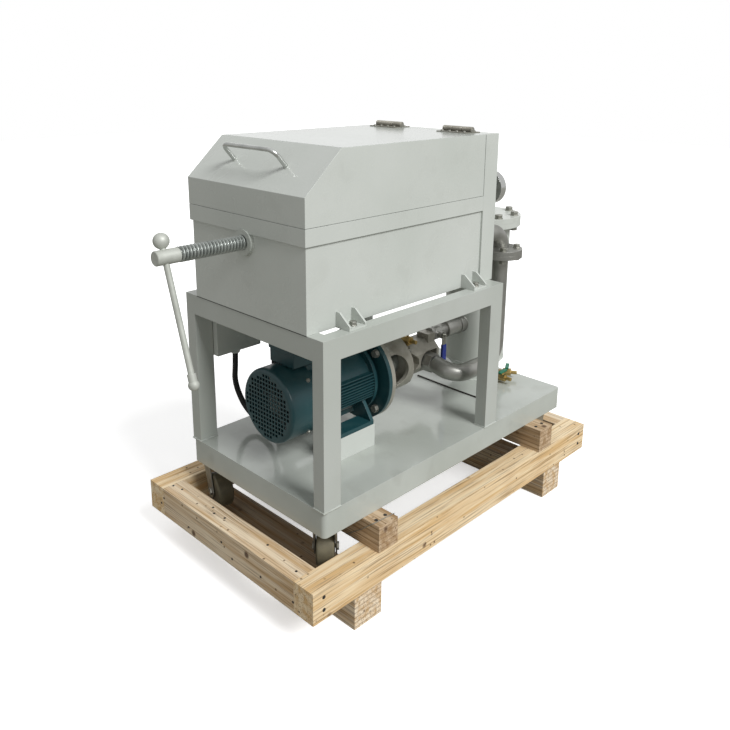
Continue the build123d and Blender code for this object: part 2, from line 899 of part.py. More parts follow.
# Lantern between motor and pump, with a round window in each side
with BuildPart() as lantern:
    with BuildSketch(upright(flange_face)):
        with Locations((0, motor_axis)):
            Circle(motor_flange_diameter / 2)
    extrude(amount=-lantern_flange_sheet)
    with BuildSketch(upright(flange_face)):
        with Locations((0, motor_axis)):
            Circle(lantern_diameter / 2)
    extrude(amount=-lantern_length)
    with BuildSketch(upright(lantern_end)):
        with Locations((0, motor_axis)):
            Circle(lantern_diameter / 2 + lantern_rim_reach)
    extrude(amount=lantern_rim)
    with BuildSketch(upright(flange_face)):
        with Locations((0, motor_axis)):
            Circle(lantern_diameter / 2 - lantern_wall)
    extrude(amount=-(lantern_length - lantern_wall), mode=Mode.SUBTRACT)
    with BuildSketch(upright(flange_face)):
        with Locations((0, motor_axis)):
            Circle(pump_shaft_diameter / 2 + lantern_shaft_gap)
    extrude(amount=-lantern_length, mode=Mode.SUBTRACT)
    with BuildSketch(Plane.YZ):
        with Locations((flange_face + lantern_window_back, motor_axis)):
            Circle(lantern_window / 2)
    extrude(amount=lantern_diameter, both=True, mode=Mode.SUBTRACT)
finish(lantern, "lantern")

# Gear pump: an eight-sided body with two pockets in each side and a suction boss on top
pump_rear = lantern_end + pump_length
rib_y = lantern_end + pump_rib_back
port_half = union_across / 2 / cos(pi / 6) + union_gap
delivery_y = rib_y + port_half
delivery_z = motor_axis - delivery_drop
with BuildPart() as gear_pump:
    with BuildSketch(upright(lantern_end)):
        with Locations((0, pump_axis)):
            RegularPolygon(pump_across / 2, 8, major_radius=False, rotation=octagon_turn)
    extrude(amount=-pump_length)
    with BuildSketch(upright(pump_rear)):
        with Locations((suction_x, pump_axis)):
            Rectangle(pump_boss_width, pump_boss_rise, align=(Align.CENTER, Align.MIN))
    extrude(amount=pump_boss_length)
    for pump_side in (-1, 1):
        with BuildSketch(Plane.YZ.offset(pump_side * pump_across / 2)):
            with BuildLine():
                Polyline(
                    (lantern_end + pump_pocket_front, pump_axis + pump_pocket_height / 2),
                    (rib_y - pump_rib, pump_axis + pump_rib),
                    (rib_y - pump_rib, pump_axis - pump_rib),
                    (lantern_end + pump_pocket_front, pump_axis - pump_pocket_height / 2),
                    close=True,
                )
            make_face()
            with Locations((delivery_y, delivery_z)):
                Circle(port_half)
                Rectangle(
                    pump_pocket_rear - pump_rib_back - port_half,
                    2 * port_half,
                    align=(Align.MIN, Align.CENTER),
                )
        extrude(amount=-pump_side * pump_pocket_depth, mode=Mode.SUBTRACT)
    with BuildSketch(upright(lantern_end)):
        with Locations((0, motor_axis)):
            Circle(pump_shaft_diameter / 2 + rotor_clearance)
    extrude(amount=-(pump_shaft_depth + pump_shaft_gap), mode=Mode.SUBTRACT)
finish(gear_pump, "gear_pump")

# Delivery pipe: from a union in the pump's right pocket back and up to the lower flange
union_start = pump_across / 2 - pump_pocket_depth
union_end = union_start + union_length
joint_z = rail_top + riser_joint
delivery_points = [
    Vector(union_end, delivery_y, delivery_z),
    Vector(riser_x - delivery_skew, delivery_y, motor_axis - delivery_low),
    Vector(riser_x, back(riser_back), motor_axis - delivery_low),
    Vector(riser_x, back(riser_back), joint_z),
]
with BuildPart() as delivery_pipe:
    with BuildLine() as delivery_path:
        FilletPolyline(*delivery_points, radius=[elbow_bend, pipe_bend])
    with BuildSketch(Plane(origin=delivery_path.line @ 0, z_dir=delivery_path.line % 0)):
        Circle(pipe_diameter / 2)
    sweep()
    with BuildSketch(Plane.YZ.offset(union_start)):
        with Locations((delivery_y, delivery_z)):
            RegularPolygon(union_across / 2, 6, major_radius=False)
    extrude(amount=union_length)
    with BuildSketch(Plane.XY.offset(joint_z - riser_flange_sheet)):
        with Locations((riser_x, back(riser_back))):
            Circle(riser_flange_diameter / 2)
    extrude(amount=riser_flange_sheet)
finish(delivery_pipe, "delivery_pipe")

# Flanged elbow from the riser into the rear housing
outlet_z = rail_top + riser_outlet
outlet_points = [
    Vector(riser_x, back(riser_back), joint_z),
    Vector(riser_x, back(riser_back), outlet_z),
    Vector(riser_x, housing_rear, outlet_z),
]
with BuildPart() as delivery_elbow:
    with BuildLine() as outlet_path:
        FilletPolyline(*outlet_points, radius=elbow_bend)
    with BuildSketch(Plane.XY.offset(joint_z)):
        with Locations((riser_x, back(riser_back))):
            Circle(pipe_diameter / 2)
    sweep()
    with BuildSketch(Plane.XY.offset(joint_z)):
        with Locations((riser_x, back(riser_back))):
            Circle(riser_flange_diameter / 2)
    extrude(amount=riser_flange_sheet)
finish(delivery_elbow, "delivery_elbow")

# Strainer tank: one turned outline from its foot ring to the flange that the cover sits on
tank_joint = rail_top + tank_top
tank_weld = rail_top - tank_weld_drop
tank_bottom = rail_top - tank_bottom_drop
with BuildPart() as strainer_tank:
    with BuildSketch(Plane.YZ):
        with BuildLine():
            Polyline(
                (back(tank_back), deck_top),
                (back(tank_back) + tank_foot_diameter / 2, deck_top),
                (back(tank_back) + tank_foot_diameter / 2, tank_bottom),
                (back(tank_back) + tank_dish_diameter / 2, tank_bottom),
                (back(tank_back) + tank_diameter / 2, tank_weld),
                (back(tank_back) + tank_diameter / 2, tank_joint - tank_flange_sheet),
                (back(tank_back) + tank_flange_diameter / 2, tank_joint - tank_flange_sheet),
                (back(tank_back) + tank_flange_diameter / 2, tank_joint),
                (back(tank_back), tank_joint),
                close=True,
            )
        make_face()
    revolve(axis=Axis((0, back(tank_back), 0), (0, 0, 1)))
finish(strainer_tank, "strainer_tank")

with BuildPart() as tank_cover:
    with BuildSketch(Plane.XY.offset(tank_joint)):
        with Locations((0, back(tank_back))):
            Circle(tank_flange_diameter / 2)
    extrude(amount=tank_flange_sheet)
finish(tank_cover, "tank_cover")

# Suction side: ball valve on the pump's boss, then a coupling to the tank
valve_end = pump_rear + valve_length
valve_y = pump_rear + valve_length / 2
with BuildPart() as ball_valve:
    with BuildSketch(upright(pump_rear)):
        with Locations((suction_x, suction_axis)):
            RegularPolygon(valve_nut_across / 2, 8, major_radius=False, rotation=octagon_turn)
    extrude(amount=-valve_length)
    with BuildSketch(upright(pump_rear + valve_nut_length)):
        with Locations((suction_x, suction_axis)):
            Circle(valve_body_diameter / 2)
    extrude(amount=-(valve_length - 2 * valve_nut_length))
    with BuildSketch(Plane.YZ.offset(suction_x)):
        with Locations((valve_y, suction_axis)):
            Circle(valve_bonnet_diameter / 2)
    extrude(amount=valve_bonnet_reach)
    with BuildSketch(Plane.YZ.offset(suction_x)):
        with Locations((valve_y, suction_axis)):
            Circle(valve_stem_diameter / 2 + valve_stem_clearance)
    extrude(amount=valve_bonnet_reach, mode=Mode.SUBTRACT)
finish(ball_valve, "ball_valve")

lever_x = suction_x + valve_stem_reach
with BuildPart() as valve_lever:
    with BuildSketch(Plane.YZ.offset(suction_x + valve_stem_clearance)):
        with Locations((valve_y, suction_axis)):
            Circle(valve_stem_diameter / 2)
    extrude(amount=valve_stem_reach + lever_sheet + valve_stem_head)
    with BuildSketch(Plane.YZ.offset(lever_x)):
        with Locations((valve_y, suction_axis + lever_width / 2)):
            Rectangle(lever_width, lever_length, align=(Align.CENTER, Align.MAX))
    extrude(amount=lever_sheet)
    with BuildSketch(Plane.YZ.offset(lever_x + (lever_sheet - lever_sleeve_sheet) / 2)):
        with Locations((valve_y, suction_axis - lever_sleeve_start)):
            sleeve_length = lever_length - lever_sleeve_start
            Rectangle(lever_sleeve_width, sleeve_length, align=(Align.CENTER, Align.MAX))
    extrude(amount=lever_sleeve_sheet)
finish(valve_lever, "valve_lever")

with BuildPart() as suction_pipe:
    with BuildSketch(upright(valve_end)):
        with Locations((suction_x, suction_axis)):
            Circle(suction_diameter / 2)
    extrude(amount=-(back(tank_back) - valve_end))
    with BuildSketch(upright(back(tank_back) - tank_diameter / 2 - collar_length)):
        with Locations((suction_x, suction_axis)):
            Circle(collar_diameter / 2)
    extrude(amount=-(tank_diameter / 2 + collar_length))
    with BuildSketch(upright(back(tank_back) - tank_diameter / 2 - collar_rim_setback)):
        with Locations((suction_x, suction_axis)):
            Circle(collar_rim_diameter / 2)
    extrude(amount=collar_rim)
    with BuildSketch(Plane.XY.offset(tank_weld)):
        with Locations((0, back(tank_back))):
            Circle(tank_diameter / 2)
    extrude(amount=tank_joint - tank_weld, mode=Mode.SUBTRACT)
finish(suction_pipe, "suction_pipe")


def cock(seat, nipple_length):
    """A small cock on a seat plane: nipple, six-sided body, spout and a stem along the plane's Y."""
    middle = nipple_length + cock_length / 2
    with BuildPart() as body:
        with BuildSketch(seat):
            Circle(cock_nipple / 2)
        extrude(amount=nipple_length)
        with BuildSketch(seat.offset(nipple_length)):
            RegularPolygon(cock_body / 2, 6, major_radius=False)
        extrude(amount=cock_length)
        with BuildSketch(seat.offset(nipple_length + cock_length)):
            Circle(cock_spout / 2)
        extrude(amount=cock_spout_length)
        with BuildSketch(Plane(origin=seat.from_local_coords((0, 0, middle)), z_dir=seat.y_dir)):
            Circle(cock_stem / 2)
        extrude(amount=cock_body / 2 + cock_stem_reach)
    return body.part


def cock_lever(seat, nipple_length, start, span):
    """A flat lever on top of a cock's stem, across the flow, from start to start + span."""
    pivot = seat.from_local_coords((0, cock_body / 2 + cock_stem_reach, nipple_length + cock_length / 2))
    top = Plane(origin=pivot, x_dir=seat.x_dir, z_dir=seat.y_dir)
    with BuildPart() as lever:
        with BuildSketch(top):
            with Locations((start, 0)):
                Rectangle(span, cock_lever_width, align=(Align.MIN, Align.CENTER))
        extrude(amount=cock_lever_sheet)
    return lever.part


# Sampling cock on the pump's top, facing right
pump_top = pump_axis + pump_across / 2
sample_y = lantern_end + sample_setback
sample_seat = Plane(origin=(0, sample_y, pump_top + sample_rise), x_dir=(0, 1, 0), z_dir=(1, 0, 0))
with BuildPart() as sampling_cock:
    add(cock(sample_seat, cock_nipple_length))
    with BuildSketch(Plane.XY.offset(pump_top)):
        with Locations((cock_nipple_length + cock_length / 2, sample_y)):
            Circle(cock_nipple / 2)
    extrude(amount=sample_rise)
finish(sampling_cock, "sampling_cock")

with BuildPart() as sampling_cock_lever:
    add(cock_lever(sample_seat, cock_nipple_length, -cock_lever_width / 2, sample_lever_length))
finish(sampling_cock_lever, "sampling_cock_lever")

# Two drain cocks on the tank's foot, with short cross handles
drain_z = deck_top + drain_rise
drain_seats = [
    Plane(
        origin=(
            tank_foot_diameter / 2 * cos(radians(swing)),
            back(tank_back) + tank_foot_diameter / 2 * sin(radians(swing)),
            drain_z,
        ),
        x_dir=(-sin(radians(swing)), cos(radians(swing)), 0),
        z_dir=(cos(radians(swing)), sin(radians(swing)), 0),
    )
    for swing in (drain_swing_near, drain_swing_far)
]
with BuildPart() as drain_cocks:
    for seat in drain_seats:
        add(cock(seat, drain_nipple_length))
    with BuildSketch(Plane.XY.offset(deck_top)):
        with Locations((0, back(tank_back))):
            Circle(tank_foot_diameter / 2)
    extrude(amount=tank_bottom - deck_top, mode=Mode.SUBTRACT)
finish(drain_cocks, "drain_cocks")

for handle_name, seat in zip(("near", "far"), drain_seats):
    with BuildPart() as drain_handle:
        add(cock_lever(seat, drain_nipple_length, -cock_lever_span / 2, cock_lever_span))
    finish(drain_handle, f"drain_handle_{handle_name}")

# Pressure gauge on a stub behind the housing, dial to the rear
gauge_z = rail_top + gauge_rise
with BuildPart() as pressure_gauge:
    with BuildSketch(upright(housing_rear)):
        with Locations((gauge_x, gauge_z)):
            Circle(gauge_stem / 2)
    extrude(amount=-gauge_standoff)
    with BuildSketch(upright(housing_rear + gauge_standoff)):
        with Locations((gauge_x, gauge_z)):
            Circle(gauge_diameter / 2)
    extrude(amount=-gauge_case)
    with BuildSketch(upright(housing_rear + gauge_standoff + gauge_case)):
        with Locations((gauge_x, gauge_z)):
            Circle(gauge_diameter / 2 - gauge_bezel)
    extrude(amount=gauge_dial_depth, mode=Mode.SUBTRACT)
finish(pressure_gauge, "pressure_gauge")

# Switch box under the left rail, with a gland in its floor
control_x = -(base_width - control_width) / 2
control_bottom = rail_top - tube_wide - control_height
gland_y = back(control_front + control_gland_setback)
with BuildPart() as control_box:
    with BuildSketch(Plane.XY.offset(control_bottom)):
        with Locations((control_x, back(control_front + control_length / 2))):
            Rectangle(control_width, control_length)
    extrude(amount=control_height)
    with BuildSketch(Plane.XY.offset(control_bottom)):
        with Locations((control_x, gland_y)):
            RegularPolygon(gland_across / 2, 6, major_radius=False)
    extrude(amount=-gland_length)
finish(control_box, "control_box")

# Motor cable: from the switch box's gland down in a loose loop and up to the terminal box
cable_start = Vector(control_x, gland_y, control_bottom - gland_length)
cable_end = Vector(-terminal_width / 2 - gland_length, terminal_y, terminal_gland_z)
cable_points = [
    cable_start,
    cable_start + Vector(0, 0, -48),
    Vector(-281, 54, 500),
    Vector(-270, 64, 450),
    Vector(-246, 72, 404),
    Vector(-202, 76, 379),
    Vector(-155, 79, 391),
    Vector(-126, 80, 431),
    Vector(-128, 80, 486),
    Vector(-148, 77, 542),
    Vector(-160, 70, 597),
    Vector(-148, 65, 640),
    cable_end + Vector(-48, 0, 0),
    cable_end,
]


def bend_radii(points):
    """Arc radius for each inner point: 0.45 of its shorter run over the tangent of half the turn."""
    radii = []
    for before, corner, after in zip(points, points[1:], points[2:]):
        arriving = corner - before
        leaving = after - corner
        half_turn = radians(arriving.get_angle(leaving)) / 2
        radii.append(0.45 * min(arriving.length, leaving.length) / tan(half_turn))
    return radii


cable_radii = bend_radii(cable_points)
with BuildPart() as motor_cable:
    with BuildLine() as cable_path:
        FilletPolyline(*cable_points, radius=cable_radii)
    with BuildSketch(Plane(origin=cable_path.line @ 0, z_dir=cable_path.line % 0)):
        Circle(cable_diameter / 2)
    sweep()
finish(motor_cable, "motor_cable")
cable_length = sum(edge.length for edge in cable_path.line.edges())
volume_share = motor_cable.part.volume / (pi * cable_diameter**2 / 4 * cable_length)
print("motor cable radii", [round(radius) for radius in cable_radii])
print("motor cable length", round(cable_length), "volume share", round(volume_share, 4))

# Casters: a plate and race under the base, a fork that swivels on it and a wheel on its axle
plate_bottom = base_bottom - caster_plate_sheet
race_bottom = plate_bottom - caster_race
crown_top = race_bottom - caster_race_gap
axle_z = base_bottom - caster_height + caster_wheel / 2
cheek_gap = caster_tread + 2 * caster_side_gap
caster_spots = (
    ("left", (-caster_left_x, back(caster_back)), left_heading),
    ("right", (caster_right_x, back(caster_back)), right_heading),
)
rear_spots = [(side * caster_right_x, back(caster_rear_back)) for side in (-1, 1)]


def fork(spot, heading, trail):
    """A fork under its race: a crown, two cheeks and the axle across them."""
    crown = Plane(origin=(*spot, crown_top), x_dir=(cos(radians(heading)), sin(radians(heading)), 0))
    side = Plane(origin=(*spot, axle_z), x_dir=crown.x_dir, z_dir=-crown.y_dir)
    with BuildPart() as made:
        with BuildSketch(crown):
            Rectangle(caster_crown, cheek_gap + 2 * caster_fork_sheet)
        extrude(amount=-caster_fork_sheet)
        for cheek in (-1, 1):
            with BuildSketch(side.offset(cheek * (cheek_gap + caster_fork_sheet) / 2)):
                with BuildLine():
                    Polyline(
                        (-caster_crown / 2, crown_top - axle_z),
                        (caster_crown / 2, crown_top - axle_z),
                        (trail + caster_cheek / 2, 0),
                        (trail + caster_toe, -caster_cheek / 2),
                        (trail - caster_toe, -caster_cheek / 2),
                        (trail - caster_cheek / 2, 0),
                        close=True,
                    )
                make_face()
            extrude(amount=caster_fork_sheet / 2, both=True)
        with BuildSketch(side):
            with Locations((trail, 0)):
                Circle(caster_axle / 2)
        extrude(amount=cheek_gap / 2 + caster_fork_sheet, both=True)
        for cheek in (-1, 1):
            with BuildSketch(side.offset(cheek * (cheek_gap / 2 + caster_fork_sheet))):
                with Locations((trail, 0)):
                    RegularPolygon(caster_axle_head / 2, 6, major_radius=False)
            extrude(amount=cheek * caster_axle_head_sheet)
    return made.part


def wheel(spot, heading, trail, clearance):
    """A wheel on its axle, with a hub a little wider than the tread."""
    along = Vector(cos(radians(heading)), sin(radians(heading)), 0)
    centre = Vector(*spot, axle_z) + along * trail
    side = Plane(origin=centre, x_dir=along, z_dir=(along.Y, -along.X, 0))
    with BuildPart() as made:
        with BuildSketch(side):
            Circle(caster_wheel / 2)
        extrude(amount=caster_tread / 2, both=True)
        chamfer(made.edges().filter_by(GeomType.CIRCLE), caster_wheel_chamfer)
        with BuildSketch(side):
            Circle(caster_axle / 2 + clearance)
        extrude(amount=caster_tread, both=True, mode=Mode.SUBTRACT)
    return made.part


with BuildPart() as caster_plates:
    for spot in [spot for name, spot, heading in caster_spots] + rear_spots:
        with BuildSketch(Plane.XY.offset(base_bottom)):
            with Locations(spot):
                Rectangle(caster_plate, caster_plate)
        extrude(amount=-caster_plate_sheet)
        with BuildSketch(Plane.XY.offset(plate_bottom)):
            with Locations(spot):
                Circle(caster_race_diameter / 2)
        extrude(amount=-caster_race)
finish(caster_plates, "caster_plates")

for name, spot, heading in caster_spots:
    with BuildPart() as caster_fork:
        add(fork(spot, heading, caster_trail))
    finish(caster_fork, f"caster_fork_{name}")
    with BuildPart() as caster_roller:
        add(wheel(spot, heading, caster_trail, caster_clearance))
    finish(caster_roller, f"caster_wheel_{name}")

with BuildPart() as rear_forks:
    for spot in rear_spots:
        add(fork(spot, rear_heading, 0))
        with BuildSketch(Plane.XY.offset(crown_top)):
            with Locations(spot):
                Circle(caster_race_diameter / 2)
        extrude(amount=caster_race_gap)
finish(rear_forks, "rear_caster_forks")

with BuildPart() as rear_wheels:
    for spot in rear_spots:
        add(wheel(spot, rear_heading, 0, caster_clearance))
finish(rear_wheels, "rear_caster_wheels")
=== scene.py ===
"""Looks of a plate-type oil filter press on its timber shipping skid.

Everything is in metres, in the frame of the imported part: +Z up, the screw end faces -Y.
"""
import math

import bmesh
import bpy
from mathutils import Matrix, Vector


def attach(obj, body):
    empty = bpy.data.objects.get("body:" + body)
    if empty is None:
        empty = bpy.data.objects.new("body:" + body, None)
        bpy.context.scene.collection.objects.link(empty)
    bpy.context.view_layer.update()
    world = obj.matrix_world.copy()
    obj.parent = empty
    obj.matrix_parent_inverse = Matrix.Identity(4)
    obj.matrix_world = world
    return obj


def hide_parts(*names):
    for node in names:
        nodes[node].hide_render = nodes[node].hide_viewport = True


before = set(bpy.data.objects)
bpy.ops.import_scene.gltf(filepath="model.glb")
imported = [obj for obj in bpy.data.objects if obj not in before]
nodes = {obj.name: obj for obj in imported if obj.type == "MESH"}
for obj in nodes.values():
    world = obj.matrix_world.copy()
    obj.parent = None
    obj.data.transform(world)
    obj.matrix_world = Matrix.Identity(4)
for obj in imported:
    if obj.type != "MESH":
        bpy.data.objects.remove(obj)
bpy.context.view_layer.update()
scene = bpy.context.scene

# Places that the dressed pieces share with the frame
SCREW_HEIGHT = 1.021
SCREW_RADIUS = 0.020
SCREW_ROOT = 0.0162
SCREW_PITCH = 0.010
HUB_FRONT = -0.371
HUB_REAR = -0.305
HUB_RADIUS = 0.019
SOCKET_BOTTOM = 0.0727
BAR_Y = -0.343
BAR_LEAN = math.radians(18)
BAR_HOLE = 0.0083
LID_TOP = 1.277
DECK_TOP = 0.347
RAIL_TOP = 0.820
MOTOR_AXIS = 0.532
TANK_Y = 0.933
TANK_RADIUS = 0.1095
RISER = (0.180, 0.805)


def linear(code):
    """Linear colour of an sRGB hex code."""
    parts = [int(code[index : index + 2], 16) / 255 for index in (1, 3, 5)]
    return tuple(c / 12.92 if c <= 0.04045 else ((c + 0.055) / 1.055) ** 2.4 for c in parts) + (1.0,)


def add(tree, kind, inputs=None, **settings):
    """A node with its settings, and its inputs given as values or as the sockets that feed them."""
    node = tree.nodes.new(kind)
    for name, value in settings.items():
        setattr(node, name, value)
    for key, value in (inputs or {}).items():
        if isinstance(value, bpy.types.NodeSocket):
            tree.links.new(value, node.inputs[key])
        else:
            node.inputs[key].default_value = value
    return node


# Radius that catches light along the edges of sheet, timber and castings
EDGE_RADIUS = 0.0018
EDGE_SAMPLES = 6

# Depth of the fine relief of paint, tool lines and moulded grain
FINE_RELIEF = 0.0003

# Indices of a colour Mix node's sockets
FACTOR, FIRST, SECOND, MIXED = 0, 6, 7, 2


def finish_base(name, roughness, metallic=0.0, **sockets):
    """A new material with its shader, its tree and the object coordinates in metres."""
    material = bpy.data.materials.new(name)
    material.use_nodes = True
    tree = material.node_tree
    shader = tree.nodes["Principled BSDF"]
    shader.inputs["Roughness"].default_value = roughness
    shader.inputs["Metallic"].default_value = metallic
    for socket, value in sockets.items():
        shader.inputs[socket.replace("_", " ")].default_value = value
    where = add(tree, "ShaderNodeTexCoord").outputs["Object"]
    return material, tree, shader, where


def blotches(tree, where, scale, low, high, detail=3.0):
    """Soft noise between 0 and 1 that starts at low and is full at high."""
    noise = add(tree, "ShaderNodeTexNoise", {"Vector": where, "Scale": scale, "Detail": detail})
    share = add(
        tree,
        "ShaderNodeMapRange",
        {"Value": noise.outputs["Fac"], "From Min": low, "From Max": high},
    )
    return share.outputs["Result"]


def mixed(tree, share, first, second):
    """Colour between two colours or sockets."""
    node = add(tree, "ShaderNodeMix", {FACTOR: share, FIRST: first, SECOND: second}, data_type="RGBA")
    return node.outputs[MIXED]


def surface(tree, shader, colour, roughness, height, strength, distance):
    """Link colour, roughness range and bump to a shader."""
    tree.links.new(colour, shader.inputs["Base Color"])
    low, high, share = roughness
    rough = add(tree, "ShaderNodeMapRange", {"Value": share, "To Min": low, "To Max": high})
    tree.links.new(rough.outputs["Result"], shader.inputs["Roughness"])
    eased = add(tree, "ShaderNodeBevel", {"Radius": EDGE_RADIUS}, samples=EDGE_SAMPLES)
    bump = add(
        tree,
        "ShaderNodeBump",
        {"Height": height, "Strength": strength, "Distance": distance, "Normal": eased.outputs[0]},
    )
    tree.links.new(bump.outputs["Normal"], shader.inputs["Normal"])


def enamel(name, tone, shade, rough, peel=180.0, dust="#8F8D84", dust_share=0.10):
    """Air-dried enamel sprayed on folded sheet: an even tone with faint orange peel and handling smudges."""
    material, tree, shader, where = finish_base(name, rough, IOR=1.5)
    cloudy = blotches(tree, where, 3.2, 0.35, 0.70, 4.0)
    base = mixed(tree, cloudy, linear(tone), linear(shade))
    smudge = blotches(tree, where, 14.0, 0.56, 0.82, 2.0)
    weak = add(tree, "ShaderNodeMath", {0: smudge, 1: dust_share}, operation="MULTIPLY").outputs[0]
    colour = mixed(tree, weak, base, linear(dust))
    grain = add(tree, "ShaderNodeTexNoise", {"Vector": where, "Scale": peel, "Detail": 2.0})
    surface(tree, shader, colour, (rough, rough + 0.04, smudge), grain.outputs["Fac"], 0.014, FINE_RELIEF)
    return material


def bare_metal(name, tone, shade, rough, metallic=1.0):
    """Metal turned, drawn or ground bright: fine tool marks and a dull film in patches."""
    material, tree, shader, where = finish_base(name, rough, metallic)
    marks = add(tree, "ShaderNodeTexNoise", {"Vector": where, "Scale": 420.0, "Detail": 3.0})
    film = blotches(tree, where, 22.0, 0.38, 0.72, 5.0)
    colour = mixed(tree, film, linear(tone), linear(shade))
    surface(tree, shader, colour, (rough, rough + 0.22, film), marks.outputs["Fac"], 0.18, FINE_RELIEF)
    return material


def casting(name, tone, shade, rough, metallic=0.0, sand=260.0):
    """Sand-cast iron under thin paint or oil: a fine sandy skin, darker in patches."""
    material, tree, shader, where = finish_base(name, rough, metallic)
    patch = blotches(tree, where, 18.0, 0.35, 0.68, 5.0)
    colour = mixed(tree, patch, linear(tone), linear(shade))
    skin = add(tree, "ShaderNodeTexNoise", {"Vector": where, "Scale": sand, "Detail": 5.0})
    surface(tree, shader, colour, (rough, rough + 0.18, patch), skin.outputs["Fac"], 0.30, 0.0008)
    return material


def moulding(name, tone, shade, rough):
    """Moulded or dipped plastic: one even colour, a soft sheen and a faint grain."""
    material, tree, shader, where = finish_base(name, rough, IOR=1.46)
    cloud = blotches(tree, where, 40.0, 0.35, 0.75, 4.0)
    colour = mixed(tree, cloud, linear(tone), linear(shade))
    skin = add(tree, "ShaderNodeTexNoise", {"Vector": where, "Scale": 500.0, "Detail": 2.0})
    surface(tree, shader, colour, (rough, rough + 0.14, cloud), skin.outputs["Fac"], 0.12, FINE_RELIEF)
    return material


def lumber(name, along, early, late, offset, layers=0.0):
    """Raw sawn softwood: streaks and fine lines along the piece, knots, holes and glued layers."""
    material, tree, shader, where = finish_base(name, 0.72, IOR=1.45)
    stretch = [26.0, 26.0, 26.0]
    stretch["XYZ".index(along)] = 1.1
    drawn = add(
        tree, "ShaderNodeMapping", {"Vector": where, "Location": offset, "Scale": tuple(stretch)}
    ).outputs["Vector"]
    rings = add(
        tree,
        "ShaderNodeTexNoise",
        {"Vector": drawn, "Scale": 1.6, "Detail": 7.0, "Roughness": 0.62, "Distortion": 0.35},
    )
    band = add(
        tree,
        "ShaderNodeMapRange",
        {"Value": rings.outputs["Fac"], "From Min": 0.42, "From Max": 0.60},
    ).outputs["Result"]
    wood = mixed(tree, band, linear(early), linear(late))
    tint = blotches(tree, where, 5.5, 0.42, 0.70, 3.0)
    weak = add(tree, "ShaderNodeMath", {0: tint, 1: 0.22}, operation="MULTIPLY").outputs[0]
    wood = mixed(tree, weak, wood, linear("#C39C6E"))
    fibre_scale = [250.0, 250.0, 250.0]
    fibre_scale["XYZ".index(along)] = 5.0
    fibre_place = add(tree, "ShaderNodeMapping", {"Vector": where, "Scale": tuple(fibre_scale)})
    fibre = add(
        tree,
        "ShaderNodeTexNoise",
        {"Vector": fibre_place.outputs["Vector"], "Scale": 1.0, "Detail": 3.0},
    ).outputs["Fac"]
    thin = add(
        tree, "ShaderNodeMapRange", {"Value": fibre, "From Min": 0.52, "From Max": 0.66, "To Max": 0.62}
    ).outputs["Result"]
    wood = mixed(tree, thin, wood, linear("#7A5B3A"))
    plies = add(
        tree,
        "ShaderNodeTexWave",
        {"Vector": where, "Scale": 21.0, "Distortion": 0.5, "Detail": 2.0},
        wave_type="BANDS",
        bands_direction="Z",
    )
    ply = add(
        tree,
        "ShaderNodeMapRange",
        {"Value": plies.outputs["Fac"], "From Min": 0.62, "From Max": 0.95, "To Max": layers},
    ).outputs["Result"]
    wood = mixed(tree, ply, wood, linear("#7D5F42"))
    knots = add(tree, "ShaderNodeTexVoronoi", {"Vector": where, "Scale": 8.0}, feature="F1")
    knot = add(
        tree,
        "ShaderNodeMapRange",
        {"Value": knots.outputs["Distance"], "From Min": 0.055, "From Max": 0.105, "To Min": 0.9, "To Max": 0.0},
    ).outputs["Result"]
    wood = mixed(tree, knot, wood, linear("#553A25"))
    holes = add(tree, "ShaderNodeTexVoronoi", {"Vector": where, "Scale": 34.0}, feature="F1")
    hole = add(
        tree,
        "ShaderNodeMapRange",
        {"Value": holes.outputs["Distance"], "From Min": 0.08, "From Max": 0.15, "To Min": 0.9, "To Max": 0.0},
    ).outputs["Result"]
    sparse = blotches(tree, where, 9.0, 0.46, 0.54, 2.0)
    dot = add(tree, "ShaderNodeMath", {0: hole, 1: sparse}, operation="MULTIPLY").outputs[0]
    wood = mixed(tree, dot, wood, linear("#5A3E26"))
    surface(tree, shader, wood, (0.62, 0.80, band), fibre, 0.45, 0.0010)
    return material


grey = enamel("sprayed_grey_enamel", "#CBCFCA", "#C3C8C2", 0.27)
# Lid top: the same grey enamel, glossier, with its darker tone as painted shade for how the light falls on the
# top
top_grey = enamel("smooth_grey_enamel_with_painted_shade_on_lid_top", "#BDC2BD", "#B4B9B3", 0.17, dust_share=0.0)
# Stand: the same grey enamel about a tenth darker, as painted shade for the shade the stand stands in
stand_grey = enamel("sprayed_grey_enamel_with_painted_shade_on_tube", "#BABEB9", "#B2B7B0", 0.30)
# Deck: the same grey enamel, darker as painted shade for the machine's shadow on it, with heavier dust
deck_grey = enamel("dusty_grey_enamel_with_painted_shade", "#BBC0BA", "#ADB2AB", 0.13, dust="#7F7C72", dust_share=0.22)
tank_grey = enamel("brushed_on_grey_enamel", "#CACEC8", "#BEC3BC", 0.30, peel=300.0, dust_share=0.20)
teal = enamel("motor_teal_enamel", "#1F474C", "#163A40", 0.34, peel=420.0, dust="#5E7472", dust_share=0.30)
# Cast iron in a far paler tone than bare iron: painted light that makes up for the shade of the box and rail
# over the pump
iron = casting("oiled_cast_iron_with_painted_light", "#ACA99E", "#858277", 0.34, metallic=0.35)
plate_iron = casting("machined_grey_iron", "#8A8C88", "#6E706C", 0.36, metallic=0.8, sand=400.0)
pipe_steel = bare_metal("pickled_stainless_pipe", "#A9A9A4", "#8C8C87", 0.34, metallic=0.85)
zinc = bare_metal("dull_zinc_plating", "#9B9A92", "#807C70", 0.44, metallic=0.8)
screw_steel = bare_metal("oiled_turned_steel", "#B4B9B5", "#959B97", 0.30, metallic=0.7)
